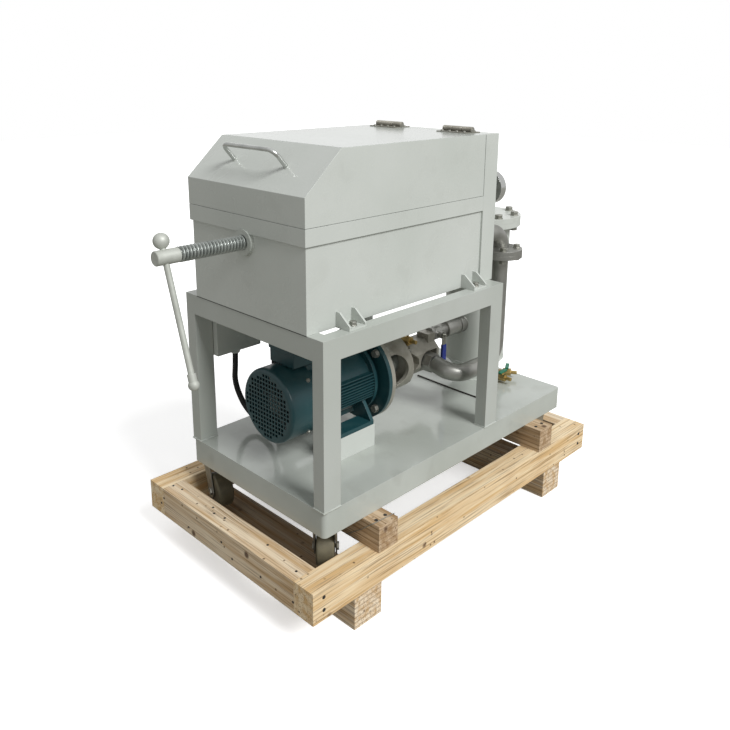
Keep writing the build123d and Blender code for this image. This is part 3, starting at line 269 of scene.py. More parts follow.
# A darker grey for the faces at the roots of the thread
groove_oil = bare_metal("dark_grey_thread_roots", "#3C403E", "#2B2E2D", 0.34, metallic=0.5)
bar_steel = bare_metal("matt_plated_rod", "#C2C5BE", "#A9ACA4", 0.50, metallic=0.25)
weld_steel = bare_metal("painted_weld_bead", "#C3C8C2", "#AEB2AA", 0.36, metallic=0.1)
bolt_steel = bare_metal("zinc_plated_bolt", "#A6A69F", "#85857B", 0.38, metallic=0.8)
wire_steel = bare_metal("dull_iron_wire", "#4B4844", "#37342F", 0.55, metallic=0.6)
bright = bare_metal("polished_plated_rod", "#C9CBC8", "#AEB1AE", 0.24)
aluminium = bare_metal("cast_aluminium_plate", "#B9BBBA", "#A1A4A3", 0.40, metallic=0.8)
brass = bare_metal("turned_brass", "#C9B27A", "#A68B52", 0.30)
green = moulding("green_dipped_vinyl", "#1E7A5C", "#17684E", 0.38)
sheath = moulding("black_rubber_sheath", "#17191A", "#101112", 0.52)
tread = moulding("dull_nylon_tread", "#716B57", "#5A5544", 0.48)
gauge_steel = bare_metal("polished_gauge_case", "#DEDFDD", "#CBCDCA", 0.16)
ink_black = moulding("black_dial_print", "#1B1C1D", "#151617", 0.36)
seam_shade = moulding("painted_gap_shadow", "#3A3D3A", "#313431", 0.60)
dial_white = moulding("printed_white_dial", "#ECECE6", "#E4E4DE", 0.40)

wood_bearer = lumber("sawn_pine_across", "X", "#F2E3CA", "#D3B58B", (0.3, 0.1, 0.7), layers=0.42)
wood_beam = lumber("sawn_pine_along", "Y", "#F4E0BC", "#DAB783", (1.7, 0.4, 0.2))
wood_cross = lumber("sawn_pine_end_rail", "X", "#ECDBBF", "#C7A87E", (2.3, 0.9, 0.5))
wood_block = lumber("darker_greyer_pine_block", "X", "#CDB698", "#A28562", (4.1, 1.3, 0.9), layers=0.42)

# Height of the upper edge of the valve lever's vinyl
SLEEVE_TOP = 0.546


def dipped_lever():
    """Zinc plated flat bar, dipped in blue vinyl below the sleeve's edge."""
    material, tree, shader, where = finish_base("blue_dipped_lever", 0.36)
    height = add(tree, "ShaderNodeSeparateXYZ", {"Vector": where}).outputs["Z"]
    dipped = add(tree, "ShaderNodeMath", {0: height, 1: SLEEVE_TOP}, operation="LESS_THAN").outputs[0]
    cloud = blotches(tree, where, 40.0, 0.35, 0.75, 4.0)
    vinyl = mixed(tree, cloud, linear("#1B2F8A"), linear("#142473"))
    colour = mixed(tree, dipped, linear("#A6A69F"), vinyl)
    plated = add(tree, "ShaderNodeMath", {0: 1.0, 1: dipped}, operation="SUBTRACT").outputs[0]
    tree.links.new(plated, shader.inputs["Metallic"])
    grain = add(tree, "ShaderNodeTexNoise", {"Vector": where, "Scale": 500.0})
    surface(tree, shader, colour, (0.30, 0.44, cloud), grain.outputs["Fac"], 0.12, FINE_RELIEF)
    return material


lever_finish = dipped_lever()

DRESS = {
    grey: "filter_box box_rim rear_housing box_lugs lid lid_window motor_plinth control_box",
    deck_grey: "base_platform",
    tank_grey: "strainer_tank tank_cover",
    lever_finish: "valve_lever",
    bright: "lid_handle",
    zinc: (
        "lid_hinge_leaves housing_hinge_leaves caster_plates caster_fork_left caster_fork_right"
        " rear_caster_forks"
    ),
    screw_steel: "press_spindle motor_rotor plate_rails",
    stand_grey: "stand_frame",
    weld_steel: "screw_nut",
    bar_steel: "tommy_bar",
    aluminium: "filter_plates",
    plate_iron: "press_plate filter_frames",
    teal: "motor_body fan_cowl terminal_box",
    iron: "lantern gear_pump",
    pipe_steel: "delivery_pipe delivery_elbow suction_pipe ball_valve",
    brass: "sampling_cock drain_cocks",
    green: "sampling_cock_lever drain_handle_near drain_handle_far",
    gauge_steel: "pressure_gauge",
    sheath: "motor_cable",
    tread: "caster_wheel_left caster_wheel_right rear_caster_wheels",
    wood_bearer: "skid_bearer_front skid_bearer_rear",
    wood_beam: "skid_beam_left skid_beam_right",
    wood_cross: "skid_beam_front skid_beam_rear",
    wood_block: "skid_block_front skid_block_rear",
}
for material, names in DRESS.items():
    for name in names.split():
        mesh = nodes[name].data
        if not mesh.materials:
            mesh.materials.append(material)
        for index in range(len(mesh.materials)):
            mesh.materials[index] = material


def piece(name, mesh, body):
    """An object for a finished mesh that rides on a body."""
    made = bpy.data.objects.new(name, mesh)
    scene.collection.objects.link(made)
    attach(made, body)
    return made


def shell(name, points, faces, material, smooth=True):
    """A mesh from points and faces, with merged doubles and outward faces."""
    mesh = bpy.data.meshes.new(name)
    mesh.from_pydata([tuple(point) for point in points], [], faces)
    work = bmesh.new()
    work.from_mesh(mesh)
    bmesh.ops.remove_doubles(work, verts=work.verts, dist=1e-6)
    bmesh.ops.recalc_face_normals(work, faces=work.faces)
    work.to_mesh(mesh)
    work.free()
    mesh.materials.append(material)
    if smooth:
        mesh.shade_smooth()
        mesh.set_sharp_from_angle(angle=math.radians(32))
    return mesh


def join(*parts):
    """Points and faces of several parts in one list."""
    points, faces = [], []
    for part_points, part_faces in parts:
        start = len(points)
        points += part_points
        faces += [tuple(index + start for index in face) for face in part_faces]
    return points, faces


def turned(profile, centre, axis, steps=48):
    """An outline of (radius, height) points turned about an axis through centre."""
    axis = Vector(axis).normalized()
    side = axis.orthogonal().normalized()
    other = axis.cross(side)
    rows = len(profile)
    points, faces = [], []
    for step in range(steps):
        angle = math.tau * step / steps
        out = side * math.cos(angle) + other * math.sin(angle)
        points += [Vector(centre) + axis * height + out * radius for radius, height in profile]
        here, there = step * rows, (step + 1) % steps * rows
        faces += [(here + row, there + row, there + row + 1, here + row + 1) for row in range(rows - 1)]
    return points, faces


def extruded(outline, start, end, axis):
    """A prism whose outline lies across an axis, from one station to another."""
    count = len(outline)
    spot = {"X": lambda s, a, b: (s, a, b), "Y": lambda s, a, b: (a, s, b), "Z": lambda s, a, b: (a, b, s)}
    place = spot[axis]
    points = [place(start, *pair) for pair in outline] + [place(end, *pair) for pair in outline]
    faces = [tuple(range(count)), tuple(range(2 * count - 1, count - 1, -1))]
    faces += [(i, (i + 1) % count, (i + 1) % count + count, i + count) for i in range(count)]
    return points, faces


def rounded_rectangle(low, high, radius, steps=6):
    """Outline of a rectangle with round corners."""
    outline = []
    corners = ((high[0], high[1], 0), (low[0], high[1], 1), (low[0], low[1], 2), (high[0], low[1], 3))
    for across, along, quarter in corners:
        middle_x = across - radius if across == high[0] else across + radius
        middle_y = along - radius if along == high[1] else along + radius
        for step in range(steps + 1):
            angle = math.tau / 4 * (quarter + step / steps)
            outline.append((middle_x + radius * math.cos(angle), middle_y + radius * math.sin(angle)))
    return outline


def wire(path, radius, sides=10):
    """A round wire along a list of points."""
    path = [Vector(point) for point in path]
    points, faces = [], []
    for index, centre in enumerate(path):
        way = path[min(index + 1, len(path) - 1)] - path[max(index - 1, 0)]
        side = way.normalized().orthogonal() if index == 0 else side - way * side.dot(way) / way.length_squared
        side.normalize()
        other = way.normalized().cross(side)
        for step in range(sides):
            angle = math.tau * step / sides
            points.append(centre + (side * math.cos(angle) + other * math.sin(angle)) * radius)
    for index in range(len(path) - 1):
        for step in range(sides):
            here, after = index * sides + step, index * sides + (step + 1) % sides
            faces.append((here, after, after + sides, here + sides))
    faces.append(tuple(range(sides)))
    faces.append(tuple(len(points) - 1 - step for step in range(sides)))
    return points, faces


def cut(mesh, cutter):
    """The mesh with the cutter's volume taken out."""
    blank = bpy.data.objects.new("blank", mesh)
    tool = bpy.data.objects.new("cutter", cutter)
    for made in (blank, tool):
        scene.collection.objects.link(made)
    modifier = blank.modifiers.new("cut", "BOOLEAN")
    modifier.operation = "DIFFERENCE"
    modifier.object = tool
    bpy.context.view_layer.update()
    graph = bpy.context.evaluated_depsgraph_get()
    result = bpy.data.meshes.new_from_object(blank.evaluated_get(graph))
    for made in (blank, tool):
        bpy.data.objects.remove(made)
    return result


def tree_with_inputs(name, inputs):
    """A new Geometry Nodes tree with a mesh in, a mesh out and the named inputs."""
    tree = bpy.data.node_groups.new(name, "GeometryNodeTree")
    tree.interface.new_socket("Geometry", in_out="INPUT", socket_type="NodeSocketGeometry")
    for label, kind in inputs:
        tree.interface.new_socket(label, in_out="INPUT", socket_type=f"NodeSocket{kind}")
    tree.interface.new_socket("Geometry", in_out="OUTPUT", socket_type="NodeSocketGeometry")
    return tree, add(tree, "NodeGroupInput").outputs


def finish_tree(tree, instances, material):
    """Realize the instances, give them their material and pass them on."""
    real = add(tree, "GeometryNodeRealizeInstances", {"Geometry": instances})
    coated = add(tree, "GeometryNodeSetMaterial", {"Geometry": real.outputs[0], "Material": material})
    add(tree, "NodeGroupOutput", {"Geometry": coated.outputs[0]})


def fastener_tree():
    """A head on a washer at every point, standing along the point's facing attribute."""
    tree, given = tree_with_inputs(
        "fasteners",
        (
            ("Sides", "Int"),
            ("Radius", "Float"),
            ("Height", "Float"),
            ("Washer Radius", "Float"),
            ("Washer Height", "Float"),
            ("Material", "Material"),
        ),
    )
    half = add(tree, "ShaderNodeMath", {0: given["Height"], 1: 0.5}, operation="MULTIPLY").outputs[0]
    up = add(tree, "ShaderNodeMath", {0: half, 1: given["Washer Height"]}, operation="ADD").outputs[0]
    washer_half = add(
        tree, "ShaderNodeMath", {0: given["Washer Height"], 1: 0.5}, operation="MULTIPLY"
    ).outputs[0]
    shapes = []
    for sides, radius, depth, lift in (
        (given["Sides"], given["Radius"], given["Height"], up),
        (20, given["Washer Radius"], given["Washer Height"], washer_half),
    ):
        shape = add(tree, "GeometryNodeMeshCylinder", {"Vertices": sides, "Radius": radius, "Depth": depth})
        offset = add(tree, "ShaderNodeCombineXYZ", {"Z": lift}).outputs[0]
        moved = add(tree, "GeometryNodeTransform", {"Geometry": shape.outputs["Mesh"], "Translation": offset})
        shapes.append(moved.outputs[0])
    both = add(tree, "GeometryNodeJoinGeometry")
    for shape in shapes:
        tree.links.new(shape, both.inputs[0])
    facing = add(tree, "GeometryNodeInputNamedAttribute", {"Name": "facing"}, data_type="FLOAT_VECTOR")
    turn = add(
        tree, "FunctionNodeAlignRotationToVector", {"Vector": facing.outputs["Attribute"]}, axis="Z"
    )
    placed = add(
        tree,
        "GeometryNodeInstanceOnPoints",
        {"Points": given["Geometry"], "Instance": both.outputs[0], "Rotation": turn.outputs[0]},
    )
    finish_tree(tree, placed.outputs[0], given["Material"])
    return tree


def bead_tree():
    """Overlapping ripples of weld metal along the edges of a path."""
    tree, given = tree_with_inputs(
        "weld_bead", (("Radius", "Float"), ("Step", "Float"), ("Material", "Material"))
    )
    line = add(tree, "GeometryNodeMeshToCurve", {"Mesh": given["Geometry"]})
    even = add(
        tree,
        "GeometryNodeResampleCurve",
        {"Curve": line.outputs[0], "Length": given["Step"]},
        mode="LENGTH",
    )
    way = add(tree, "GeometryNodeInputTangent")
    turn = add(tree, "FunctionNodeAlignRotationToVector", {"Vector": way.outputs[0]}, axis="Z")
    ripple = add(
        tree, "GeometryNodeMeshUVSphere", {"Segments": 8, "Rings": 5, "Radius": given["Radius"]}
    )
    uneven = add(tree, "FunctionNodeRandomValue", {2: 0.85, 3: 1.18}, data_type="FLOAT")
    placed = add(
        tree,
        "GeometryNodeInstanceOnPoints",
        {
            "Points": even.outputs[0],
            "Instance": ripple.outputs[0],
            "Rotation": turn.outputs[0],
            "Scale": uneven.outputs[1],
        },
    )
    finish_tree(tree, placed.outputs[0], given["Material"])
    return tree


FASTENERS = fastener_tree()
BEADS = bead_tree()


def realised(name, mesh, tree, values, body):
    """The mesh that a tree makes from a seed mesh, as a plain object on a body."""
    made = bpy.data.objects.new(name, mesh)
    scene.collection.objects.link(made)
    modifier = made.modifiers.new("repeat", "NODES")
    modifier.node_group = tree
    for label, value in values.items():
        modifier[tree.interface.items_tree[label].identifier] = value
    bpy.context.view_layer.update()
    graph = bpy.context.evaluated_depsgraph_get()
    finished = bpy.data.meshes.new_from_object(made.evaluated_get(graph))
    bpy.data.objects.remove(made)
    finished.name = name
    finished.shade_smooth()
    finished.set_sharp_from_angle(angle=math.radians(35))
    return piece(name, finished, body)


def fasteners(name, spots, across, height, body="root", slot="zinc", sides=6, washer=0.0016, coat=None):
    """Bolt heads, nuts or screws at (place, facing) spots."""
    mesh = bpy.data.meshes.new(name)
    mesh.from_pydata([place for place, facing in spots], [], [])
    facing = mesh.attributes.new("facing", "FLOAT_VECTOR", "POINT")
    facing.data.foreach_set("vector", [value for place, way in spots for value in way])
    radius = across / 2 / math.cos(math.pi / sides) if sides < 12 else across / 2
    values = {
        "Sides": sides,
        "Radius": radius,
        "Height": height,
        "Washer Radius": across * 0.62,
        "Washer Height": washer,
        "Material": coat or bolt_steel,
    }
    return realised(name, mesh, FASTENERS, values, body)


def bead(name, paths, radius, body="root", coat=None):
    """Weld beads along closed paths of points."""
    points, edges = [], []
    for path in paths:
        start, count = len(points), len(path)
        points += path
        edges += [(start + index, start + (index + 1) % count) for index in range(count)]
    mesh = bpy.data.meshes.new(name)
    mesh.from_pydata(points, edges, [])
    values = {"Radius": radius, "Step": radius * 1.1, "Material": coat or weld_steel}
    return realised(name, mesh, BEADS, values, body)


def ring(centre, axis, radius, count, start=0.0):
    """Places evenly round a circle."""
    axis = Vector(axis).normalized()
    side = Vector((1, 0, 0)) if abs(axis.x) < 0.9 else Vector((0, 0, 1))
    other = axis.cross(side)
    spots = []
    for index in range(count):
        angle = start + math.tau * index / count
        spots.append(Vector(centre) + (side * math.cos(angle) + other * math.sin(angle)) * radius)
    return spots


UP, DOWN, FORE, AFT, RIGHT, LEFT = (0, 0, 1), (0, 0, -1), (0, -1, 0), (0, 1, 0), (1, 0, 0), (-1, 0, 0)
EIGHTH = math.tau / 8

# Spindle: rolled trapezoid thread on a core, and a hub bored for the bar
SMOOTH_ANGLE = math.radians(32)
EASE = 0.002
THREAD_STEPS = 28
THREAD_PROFILE = ((0.0, SCREW_ROOT), (0.34, SCREW_ROOT), (0.50, SCREW_RADIUS), (0.84, SCREW_RADIUS))


def screw_thread(start, end):
    """Helical ridge between two stations along Y."""
    turns = math.ceil((end - start) / SCREW_PITCH) + 1
    total = turns * THREAD_STEPS + 1
    count = len(THREAD_PROFILE)
    points, faces = [], []
    for step in range(total):
        angle = math.tau * step / THREAD_STEPS
        base = start + SCREW_PITCH * (step / THREAD_STEPS - 1)
        for share, radius in THREAD_PROFILE:
            y = min(max(base + share * SCREW_PITCH, start), end)
            points.append((radius * math.cos(angle), y, SCREW_HEIGHT + radius * math.sin(angle)))
    for step in range(total - 1):
        for row in range(count):
            here, after = step * count + row, (step + 1) * count + row
            if row < count - 1:
                faces.append((here, after, after + 1, here + 1))
            elif step + 1 + THREAD_STEPS < total:
                over = (step + THREAD_STEPS) * count
                faces.append((here, after, over + count, over))
    return points, faces


hub_length = HUB_REAR - HUB_FRONT
hub_profile = [
    (0.0, 0.0),
    (HUB_RADIUS - EASE, 0.0),
    (HUB_RADIUS, EASE),
    (HUB_RADIUS, hub_length - EASE),
    (HUB_RADIUS - EASE, hub_length),
    (0.0, hub_length),
]
hub = shell("hub", *turned(hub_profile, (0, HUB_FRONT, SCREW_HEIGHT), AFT), bar_steel)
bar_way = Vector((math.sin(BAR_LEAN), 0, -math.cos(BAR_LEAN)))
BORE_REACH = 0.04
bore_profile = [(0.0, -BORE_REACH), (BAR_HOLE, -BORE_REACH), (BAR_HOLE, BORE_REACH), (0.0, BORE_REACH)]
bore = shell("bore", *turned(bore_profile, (0, BAR_Y, SCREW_HEIGHT), bar_way, 32), bar_steel)
hub = cut(hub, bore)
hub.shade_smooth()
hub.set_sharp_from_angle(angle=SMOOTH_ANGLE)
spindle_hub = piece("spindle_hub", hub, "spindle")
core_length = SOCKET_BOTTOM - HUB_REAR
CORE_RADIUS = SCREW_ROOT - 0.0001
core_profile = [(0.0, 0.0), (CORE_RADIUS, 0.0), (CORE_RADIUS, core_length), (0.0, core_length)]
threaded = join(
    turned(core_profile, (0, HUB_REAR, SCREW_HEIGHT), AFT, THREAD_STEPS), screw_thread(HUB_REAR, SOCKET_BOTTOM)
)
thread_mesh = shell("spindle_thread", *threaded, screw_steel)
thread_mesh.materials.append(groove_oil)

# Faces within this radius lie in the groove and get the second material
GROOVE_EDGE = SCREW_ROOT + 0.0006
for face in thread_mesh.polygons:
    corners = [thread_mesh.vertices[index].co for index in face.vertices]
    if all(math.hypot(corner.x, corner.z - SCREW_HEIGHT) < GROOVE_EDGE for corner in corners):
        face.material_index = 1
spindle = piece("spindle_thread", thread_mesh, "spindle")
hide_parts("press_spindle")

# Lid: plain sheet that fills the opening, under a thin painted skin over the whole top
TOP_LOW, TOP_HIGH, TOP_CORNER, LID_SHEET = (-0.217, 0.040), (0.217, 0.537), 0.012, 0.004
top_outline = rounded_rectangle(TOP_LOW, TOP_HIGH, TOP_CORNER)
top_sheet = extruded(top_outline, LID_TOP - LID_SHEET, LID_TOP, "Z")
SKIN_LOW, SKIN_HIGH, SKIN = (-0.2466, 0.0136), (0.2466, 0.6024), 0.0005
top_skin = extruded(rounded_rectangle(SKIN_LOW, SKIN_HIGH, 0.001), LID_TOP - SKIN, LID_TOP + SKIN, "Z")
top_mesh = shell("lid_top_sheet", *join(top_sheet, top_skin), top_grey, smooth=False)
piece("lid_top_sheet", top_mesh, "lid")

# Lugs: base plate on the rail with two gussets against the tub's side
BOX_SIDE = 0.241
LUG_REACH, LUG_LENGTH, LUG_SHEET, LUG_HEIGHT, GUSSET_TOP = 0.050, 0.062, 0.006, 0.042, 0.012
LUG_FRONTS = (-0.004, 0.519)
LUG_BOLT = 0.031
lug_parts = []
lug_bolts = []
for side in (-1, 1):
    wall, tip, shelf = side * BOX_SIDE, side * (BOX_SIDE + LUG_REACH), side * (BOX_SIDE + GUSSET_TOP)
    gusset = [
        (wall, RAIL_TOP + LUG_SHEET),
        (tip, RAIL_TOP + LUG_SHEET),
        (tip, RAIL_TOP + 2 * LUG_SHEET),
        (shelf, RAIL_TOP + LUG_HEIGHT),
        (wall, RAIL_TOP + LUG_HEIGHT),
    ]
    for front in LUG_FRONTS:
        plate = [(wall, front), (tip, front), (tip, front + LUG_LENGTH), (wall, front + LUG_LENGTH)]
        lug_parts.append(extruded(plate, RAIL_TOP, RAIL_TOP + LUG_SHEET, "Z"))
        for start in (front, front + LUG_LENGTH - LUG_SHEET):
            lug_parts.append(extruded(gusset, start, start + LUG_SHEET, "Y"))
        lug_bolts.append(((side * (BOX_SIDE + LUG_BOLT), front + LUG_LENGTH / 2, RAIL_TOP + LUG_SHEET), UP))
lug_mesh = shell("gusset_lugs", *join(*lug_parts), grey, smooth=False)
lugs = piece("gusset_lugs", lug_mesh, "root")
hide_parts("box_lugs")
fasteners("lug_bolts", lug_bolts, 0.017, 0.010)

# Flange bolts and nuts: strainer tank, riser and motor
COVER_TOP, COVER_UNDER, COVER_BOLTS = 0.966, 0.930, 0.123
tank_spots = ring((0, TANK_Y, 0), UP, COVER_BOLTS, 8, EIGHTH / 2)
heads = [((spot.x, spot.y, COVER_TOP), UP) for spot in tank_spots]
nuts = [((spot.x, spot.y, COVER_UNDER), DOWN) for spot in tank_spots]
fasteners("tank_cover_bolts", heads, 0.024, 0.012)
fasteners("tank_cover_nuts", nuts, 0.024, 0.015)
RISER_TOP, RISER_UNDER, RISER_BOLTS = 0.889, 0.861, 0.056
riser_spots = ring((*RISER, 0), UP, RISER_BOLTS, 4, EIGHTH)
fasteners("riser_bolts", [((spot.x, spot.y, RISER_TOP), UP) for spot in riser_spots], 0.020, 0.010)
fasteners("riser_nuts", [((spot.x, spot.y, RISER_UNDER), DOWN) for spot in riser_spots], 0.020, 0.012)
FLANGE_FRONT, FLANGE_REAR, FLANGE_BOLTS = 0.308, 0.338, 0.128
flange_spots = ring((0, 0, MOTOR_AXIS), AFT, FLANGE_BOLTS, 4, EIGHTH)
heads = [((spot.x, FLANGE_FRONT, spot.z), FORE) for spot in flange_spots]
nuts = [((spot.x, FLANGE_REAR, spot.z), AFT) for spot in flange_spots]
fasteners("motor_flange_bolts", heads, 0.021, 0.010)
fasteners("motor_flange_nuts", nuts, 0.021, 0.013)
COWL_REAR, COWL_RADIUS = 0.040, 0.111
cowl_spots = ring((0, COWL_REAR, MOTOR_AXIS), AFT, COWL_RADIUS, 4, EIGHTH)
cowl_screws = [(spot, (spot - Vector((0, COWL_REAR, MOTOR_AXIS))).normalized()) for spot in cowl_spots]
fasteners("cowl_screws", cowl_screws, 0.010, 0.004, sides=16, washer=0.001)

# Screws of the terminal box, the switch box and the hinge leaves
box_corners = [(x, y) for x in (-0.046, 0.046) for y in (0.017, 0.109)]
TERMINAL_TOP, SWITCH_FACE = 0.696, -0.300
COVER_SCREW = {"across": 0.008, "height": 0.003, "sides": 16, "washer": 0.0008}
fasteners("terminal_screws", [((x, y, TERMINAL_TOP), UP) for x, y in box_corners], **COVER_SCREW)
switch_corners = [(y, z) for y in (-0.032, 0.112) for z in (0.624, 0.751)]
switch_screws = [((SWITCH_FACE, y, z), LEFT) for y, z in switch_corners]
fasteners("switch_box_screws", switch_screws, **COVER_SCREW)
HINGE_X, HINGE_Y, HINGE_AXIS_Z, HINGE_LEAF_TOP = 0.142, 0.604, 1.2853, LID_TOP + 0.003
HINGE_SCREW_OUT = 0.025
for name, body, way in (("lid", "lid", -1), ("housing", "root", 1)):
    spots = [
        ((side * HINGE_X + along, HINGE_Y + way * HINGE_SCREW_OUT, HINGE_LEAF_TOP), UP)
        for side in (-1, 1)
        for along in (-0.042, -0.014, 0.014, 0.042)
    ]
    fasteners(f"{name}_hinge_screws", spots, 0.009, 0.003, body=body, sides=16, washer=0.0005)

# Weld beads: tank, pipes, nut flange, handle feet and the stand's posts
CIRCLE = 64
DECK_WELD = DECK_TOP + 0.001
TANK_FOOT, TANK_SEAMS = 0.065, (0.430, 0.929)
tank_rings = [ring((0, TANK_Y, height), UP, TANK_RADIUS, CIRCLE) for height in TANK_SEAMS]
tank_rings.append(ring((0, TANK_Y, DECK_WELD), UP, TANK_FOOT, CIRCLE))
bead("tank_welds", tank_rings, 0.0034, coat=tank_grey)
SUCTION, SADDLE_RADIUS = (0.012, 0.578), 0.031
saddle = []
for index in range(CIRCLE):
    angle = math.tau * index / CIRCLE
    x, z = (SUCTION[0] + SADDLE_RADIUS * math.cos(angle), SUCTION[1] + SADDLE_RADIUS * math.sin(angle))
    saddle.append((x, TANK_Y - math.sqrt(TANK_RADIUS**2 - x * x), z))
PIPE_RADIUS, PIPE_END = 0.0295, (0.669, 0.946)
pipe_rings = [
    ring((*RISER, RISER_UNDER), UP, PIPE_RADIUS, CIRCLE),
    ring((*RISER, RISER_TOP), UP, PIPE_RADIUS, CIRCLE),
    ring((RISER[0], *PIPE_END), AFT, PIPE_RADIUS, CIRCLE),
    saddle,
]
bead("pipe_welds", pipe_rings, 0.0026, coat=pipe_steel)
NUT_FACE, NUT_RADIUS = -0.1042, 0.0368
bead("nut_weld", [ring((0, NUT_FACE, SCREW_HEIGHT), AFT, NUT_RADIUS, CIRCLE)], 0.0026)
HANDLE_X, HANDLE_Y, HANDLE_Z, HANDLE_RADIUS = 0.108, -0.0488, 1.2236, 0.0066
SLOPE_NORMAL = (0, -0.672, 0.740)
handle_feet = [(side * HANDLE_X, HANDLE_Y, HANDLE_Z) for side in (-1, 1)]
handle_rings = [ring(foot, SLOPE_NORMAL, HANDLE_RADIUS, 20) for foot in handle_feet]
bead("handle_welds", handle_rings, 0.0018, body="lid")
POST_X, POST_FRONT, POST_REAR, POST_HALF = 0.280, -0.073, 0.627, (0.020, 0.030)
SQUARE = ((-1, -1), (1, -1), (1, 1), (-1, 1))
post_rings = []
for x in (-POST_X, POST_X):
    for y in (POST_FRONT, POST_REAR):
        post_rings.append([(x + a * POST_HALF[0], y + b * POST_HALF[1], DECK_WELD) for a, b in SQUARE])
bead("post_welds", post_rings, 0.0028)

# Gauge: white dial with a scale of ticks and a pointer, inside a polished case
GAUGE_X, GAUGE_Z, DIAL_Y, DIAL_RADIUS, DIAL_SHEET = 0.200, 1.105, 0.7112, 0.046, 0.0006
dial_profile = [(0.0, 0.0), (DIAL_RADIUS, 0.0), (DIAL_RADIUS, DIAL_SHEET), (0.0, DIAL_SHEET)]
dial = turned(dial_profile, (GAUGE_X, DIAL_Y, GAUGE_Z), AFT)
piece("gauge_dial", shell("gauge_dial", *dial, dial_white), "root")
marks = []
SCALE_START, SCALE_SPAN, SCALE_MARKS = math.radians(-45), math.radians(270), 31
MARK_TIP, LONG_MARK, SHORT_MARK = 0.042, (0.033, 0.0007), (0.037, 0.0004)
for index in range(SCALE_MARKS):
    angle = SCALE_START + SCALE_SPAN * index / (SCALE_MARKS - 1)
    inner, half = SHORT_MARK if index % 5 else LONG_MARK
    out, across = (math.cos(angle), math.sin(angle)), (-math.sin(angle) * half, math.cos(angle) * half)
    corners = ((inner, -1), (MARK_TIP, -1), (MARK_TIP, 1), (inner, 1))
    outline = [
        (GAUGE_X + out[0] * reach + across[0] * side, GAUGE_Z + out[1] * reach + across[1] * side)
        for reach, side in corners
    ]
    marks.append(extruded(outline, DIAL_Y + 0.0005, DIAL_Y + 0.0009, "Y"))
POINTER = ((0.030, -0.030), (-0.006, 0.009), (-0.009, 0.006))
pointer = [(GAUGE_X + across, GAUGE_Z + up) for across, up in POINTER]
marks.append(extruded(pointer, DIAL_Y + 0.0012, DIAL_Y + 0.0020, "Y"))
hub_cap = [(0.0, 0.0), (0.005, 0.0), (0.005, 0.002), (0.0, 0.002)]
marks.append(turned(hub_cap, (GAUGE_X, DIAL_Y + 0.0005, GAUGE_Z), AFT, 20))
piece("gauge_marks", shell("gauge_marks", *join(*marks), ink_black, smooth=False), "root")

# Skid: nail heads where the timbers cross
BLOCK_TOP, BEAM_OUTER, SKID_MIDDLE, NAIL_INSET = 0.272, 0.3875, -0.025, 0.030
nails = []
for y in (0.077, 0.875):
    for x in (NAIL_INSET - BEAM_OUTER, BEAM_OUTER - NAIL_INSET):
        nails += [((SKID_MIDDLE + x, y + shift, BLOCK_TOP), UP) for shift in (-0.018, 0.018)]
for y in (-0.1625, 1.1075):
    nails += [((SKID_MIDDLE + BEAM_OUTER, y, z), RIGHT) for z in (0.128, 0.166)]
    nails += [((SKID_MIDDLE - BEAM_OUTER, y, z), LEFT) for z in (0.128, 0.166)]
fasteners("nail_heads", nails, 0.009, 0.0012, sides=16, washer=0.0002, slot="zinc", coat=wire_steel)

# Smaller nails driven into the front timber, at (x, z) on its face and (x, y) on its top
BEAM_TOP, SKID_FRONT = 0.192, -0.200
FACE_NAILS = (
    (-0.335, 0.160),
    (-0.352, 0.136),
    (-0.200, 0.120),
    (-0.030, 0.152),
    (0.020, 0.122),
    (0.150, 0.132),
    (0.285, 0.128),
)
TOP_NAILS = (
    (-0.330, -0.168),
    (-0.292, -0.160),
    (-0.140, -0.150),
    (-0.112, -0.166),
    (-0.070, -0.158),
    (0.120, -0.150),
    (0.262, -0.168),
)
small_nails = [((x, SKID_FRONT, z), FORE) for x, z in FACE_NAILS]
small_nails += [((x, y, BEAM_TOP), UP) for x, y in TOP_NAILS]
fasteners("small_nail_heads", small_nails, 0.0062, 0.0008, sides=12, washer=0.0002, slot="zinc", coat=wire_steel)

# Dark strip of painted shadow in the gap where the tub's front stands on the rail
SEAM_LOW, SEAM_HIGH = RAIL_TOP - 0.0012, RAIL_TOP + 0.0008
seam_outline = [(-BOX_SIDE, SEAM_LOW), (BOX_SIDE, SEAM_LOW), (BOX_SIDE, SEAM_HIGH), (-BOX_SIDE, SEAM_HIGH)]
seam = extruded(seam_outline, -0.1045, -0.1036, "Y")
piece("painted_shadow_under_tub_front", shell("painted_shadow_under_tub_front", *seam, seam_shade, smooth=False), "root")

# Lantern: barrel with a wide round window in each side, between the motor's flange and the pump's
LANTERN_START, LANTERN_END, PUMP_FACE = 0.322, 0.473, 0.497
LANTERN_RADIUS, LANTERN_BORE, LANTERN_FLOOR, SHAFT_BORE = 0.095, 0.083, 0.461, 0.014
FLANGE_RIM, RIM_EASE, FILLET = 0.1470, 0.0008, 0.004
WINDOW_RADIUS, WINDOW_Y, WINDOW_REACH = 0.056, 0.399, 0.16
lantern_profile = [
    (SHAFT_BORE, LANTERN_FLOOR),
    (LANTERN_BORE, LANTERN_FLOOR),
    (LANTERN_BORE, LANTERN_START),
    (FLANGE_RIM - RIM_EASE, LANTERN_START),
    (FLANGE_RIM, LANTERN_START + RIM_EASE),
    (FLANGE_RIM, FLANGE_REAR - RIM_EASE),
    (FLANGE_RIM - RIM_EASE, FLANGE_REAR),
    (LANTERN_RADIUS + FILLET, FLANGE_REAR),
    (LANTERN_RADIUS, FLANGE_REAR + FILLET),
    (LANTERN_RADIUS, LANTERN_END),
    (SHAFT_BORE, LANTERN_END),
    (SHAFT_BORE, LANTERN_FLOOR),
]
